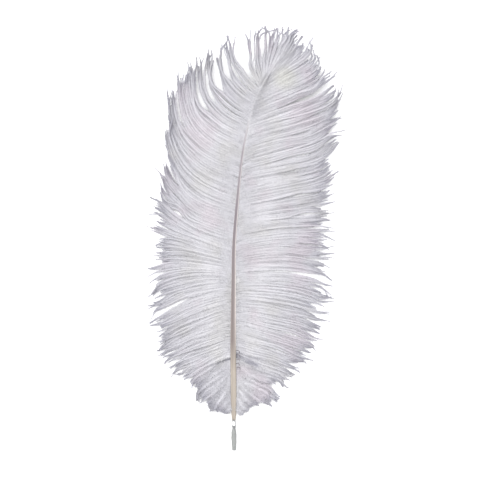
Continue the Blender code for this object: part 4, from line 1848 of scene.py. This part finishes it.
@dataclass
class Studio:
    """Pale card, soft light from above and a camera that looks straight down, as the photo does."""

    # Places in the photo, in its pixels: its middle and the quill's cut end.
    view_middle: tuple[float, float] = (250.0, 250.0)
    quill_end: tuple[float, float] = (234.0, 450.5)
    # Sizes in metres, but for the sensor's, which is in millimetres.
    camera_height: float = 4.0
    focus_height: float = 0.006
    sensor: float = 36.0
    floor_size: float = 6.0
    key_size: float = 0.9
    key_place: tuple[float, float, float] = (-0.3, 0.45, 1.5)
    key_power: float = 22.0
    world_strength: float = 1.3

    def build(self, layout: Layout) -> None:
        """Sets the floor, lights and camera.

        Args:
            layout: Where the plume's millimetres lie, so that the camera sees it where the photo has it.
        """
        across = (self.view_middle[0] - self.quill_end[0]) * MM_A_PIXEL * MM
        up = (self.quill_end[1] - self.view_middle[1]) * MM_A_PIXEL * MM
        aim = Vector((layout.origin.x + across, layout.origin.y + up, 0.0))
        self.floor(aim)
        self.lights(aim)
        camera = bpy.data.objects.new("camera", bpy.data.cameras.new("camera"))
        camera.location = aim + Vector((0.0, 0.0, self.camera_height))
        camera.data.sensor_width = self.sensor
        wide = PHOTO_PIXELS * MM_A_PIXEL * MM
        camera.data.lens = self.sensor * (self.camera_height - self.focus_height) / wide
        bpy.context.scene.collection.objects.link(camera)
        bpy.context.scene.camera = camera

    def floor(self, aim: Vector) -> None:
        """Lays the card.

        Args:
            aim: Where the camera looks.
        """
        mesh = bpy.data.meshes.new("card")
        half = self.floor_size / 2.0
        corners = [(-half, -half, 0.0), (half, -half, 0.0), (half, half, 0.0), (-half, half, 0.0)]
        mesh.from_pydata(corners, [], [(0, 1, 2, 3)])
        mesh.materials.append(PaleCard().material())
        card = bpy.data.objects.new("card", mesh)
        card.location = Vector((aim.x, aim.y, CAD_LOW.z))
        bpy.context.scene.collection.objects.link(card)

    def lights(self, aim: Vector) -> None:
        """Hangs one broad lamp and sets an even white surround.

        Args:
            aim: Where the lamp points.
        """
        lamp = bpy.data.lights.new("key", "AREA")
        lamp.shape = "SQUARE"
        lamp.size = self.key_size
        lamp.energy = self.key_power
        key = bpy.data.objects.new("key", lamp)
        key.location = aim + Vector(self.key_place)
        key.rotation_euler = (aim - key.location).to_track_quat("-Z", "Y").to_euler()
        bpy.context.scene.collection.objects.link(key)
        world = bpy.data.worlds.new("surround")
        world.use_nodes = True
        sky = world.node_tree.nodes["Background"]
        sky.inputs["Strength"].default_value = self.world_strength
        sky.inputs["Color"].default_value = linear(WHITE)
        bpy.context.scene.world = world
        bpy.context.scene.view_settings.view_transform = "Standard"


def hold(piece: bpy.types.Object) -> None:
    """Fixes a piece in the frame.

    Args:
        piece: The finished piece.
    """
    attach(piece, BODY)
    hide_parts(NODE)


def report(piece: bpy.types.Object) -> None:
    """Logs a finished piece.

    Args:
        piece: The piece.
    """
    faces = piece.data.polygons
    LOG.info("%s: %d faces, %d triangles", piece.name, len(faces), len(piece.data.loops) - 2 * len(faces))


def main() -> None:
    """Builds the plume and its studio, piece by piece."""
    logging.basicConfig(level=logging.INFO, format="%(name)s: %(message)s")
    layout = Layout.from_frame()
    shaft = Shaft()
    for part in (shaft, Quill(shaft), RootHooks()):
        piece = part.build(layout)
        part.dress(piece)
        report(piece)
    stretches = (
        Stretch("down", 32.5, 66.0),
        Stretch("vane_low", 66.0, 110.0),
        Stretch("vane_middle", 110.0, 150.0),
        Stretch("vane_high", 150.0, 190.0),
        Stretch("vane_top", 190.0, 232.0),
        Stretch("tip", 232.0, 280.0),
    )
    left_partings = (
        Parting(197.0, 0.4),
        Parting(209.0, 0.5),
        Parting(223.5, 3.3),
        Parting(230.5, 2.9),
        Parting(238.0, 3.2),
        Parting(245.5, 3.0),
        Parting(254.5, 3.6, opened=1.0),
        Parting(265.0, 1.2, opened=0.6),
    )
    right_partings = (Parting(228.0, 0.3), Parting(251.0, 0.3))
    left = Vane(
        side=Side.LEFT,
        flow=LEFT_FLOW,
        stretches=stretches,
        partings=left_partings,
        hollows=((65.0, 67.8),),
        seed=37,
        down_tone=0.6,
        top_contrast=0.75,
    )
    right = Vane(
        side=Side.RIGHT,
        flow=RIGHT_FLOW,
        stretches=stretches,
        partings=right_partings,
        hollows=((67.0, 71.2),),
        seed=42,
        down_tone=0.2,
        top_contrast=0.05,
        top_barbule=1.75,
    )
    keratin = BarbKeratin().material(layout)
    for vane in (left, right):
        pieces = vane.build(layout, shaft)
        vane.dress(pieces, keratin)
        for piece in pieces:
            report(piece)
    Studio().build(layout)


if __name__ == "__main__":
    main()
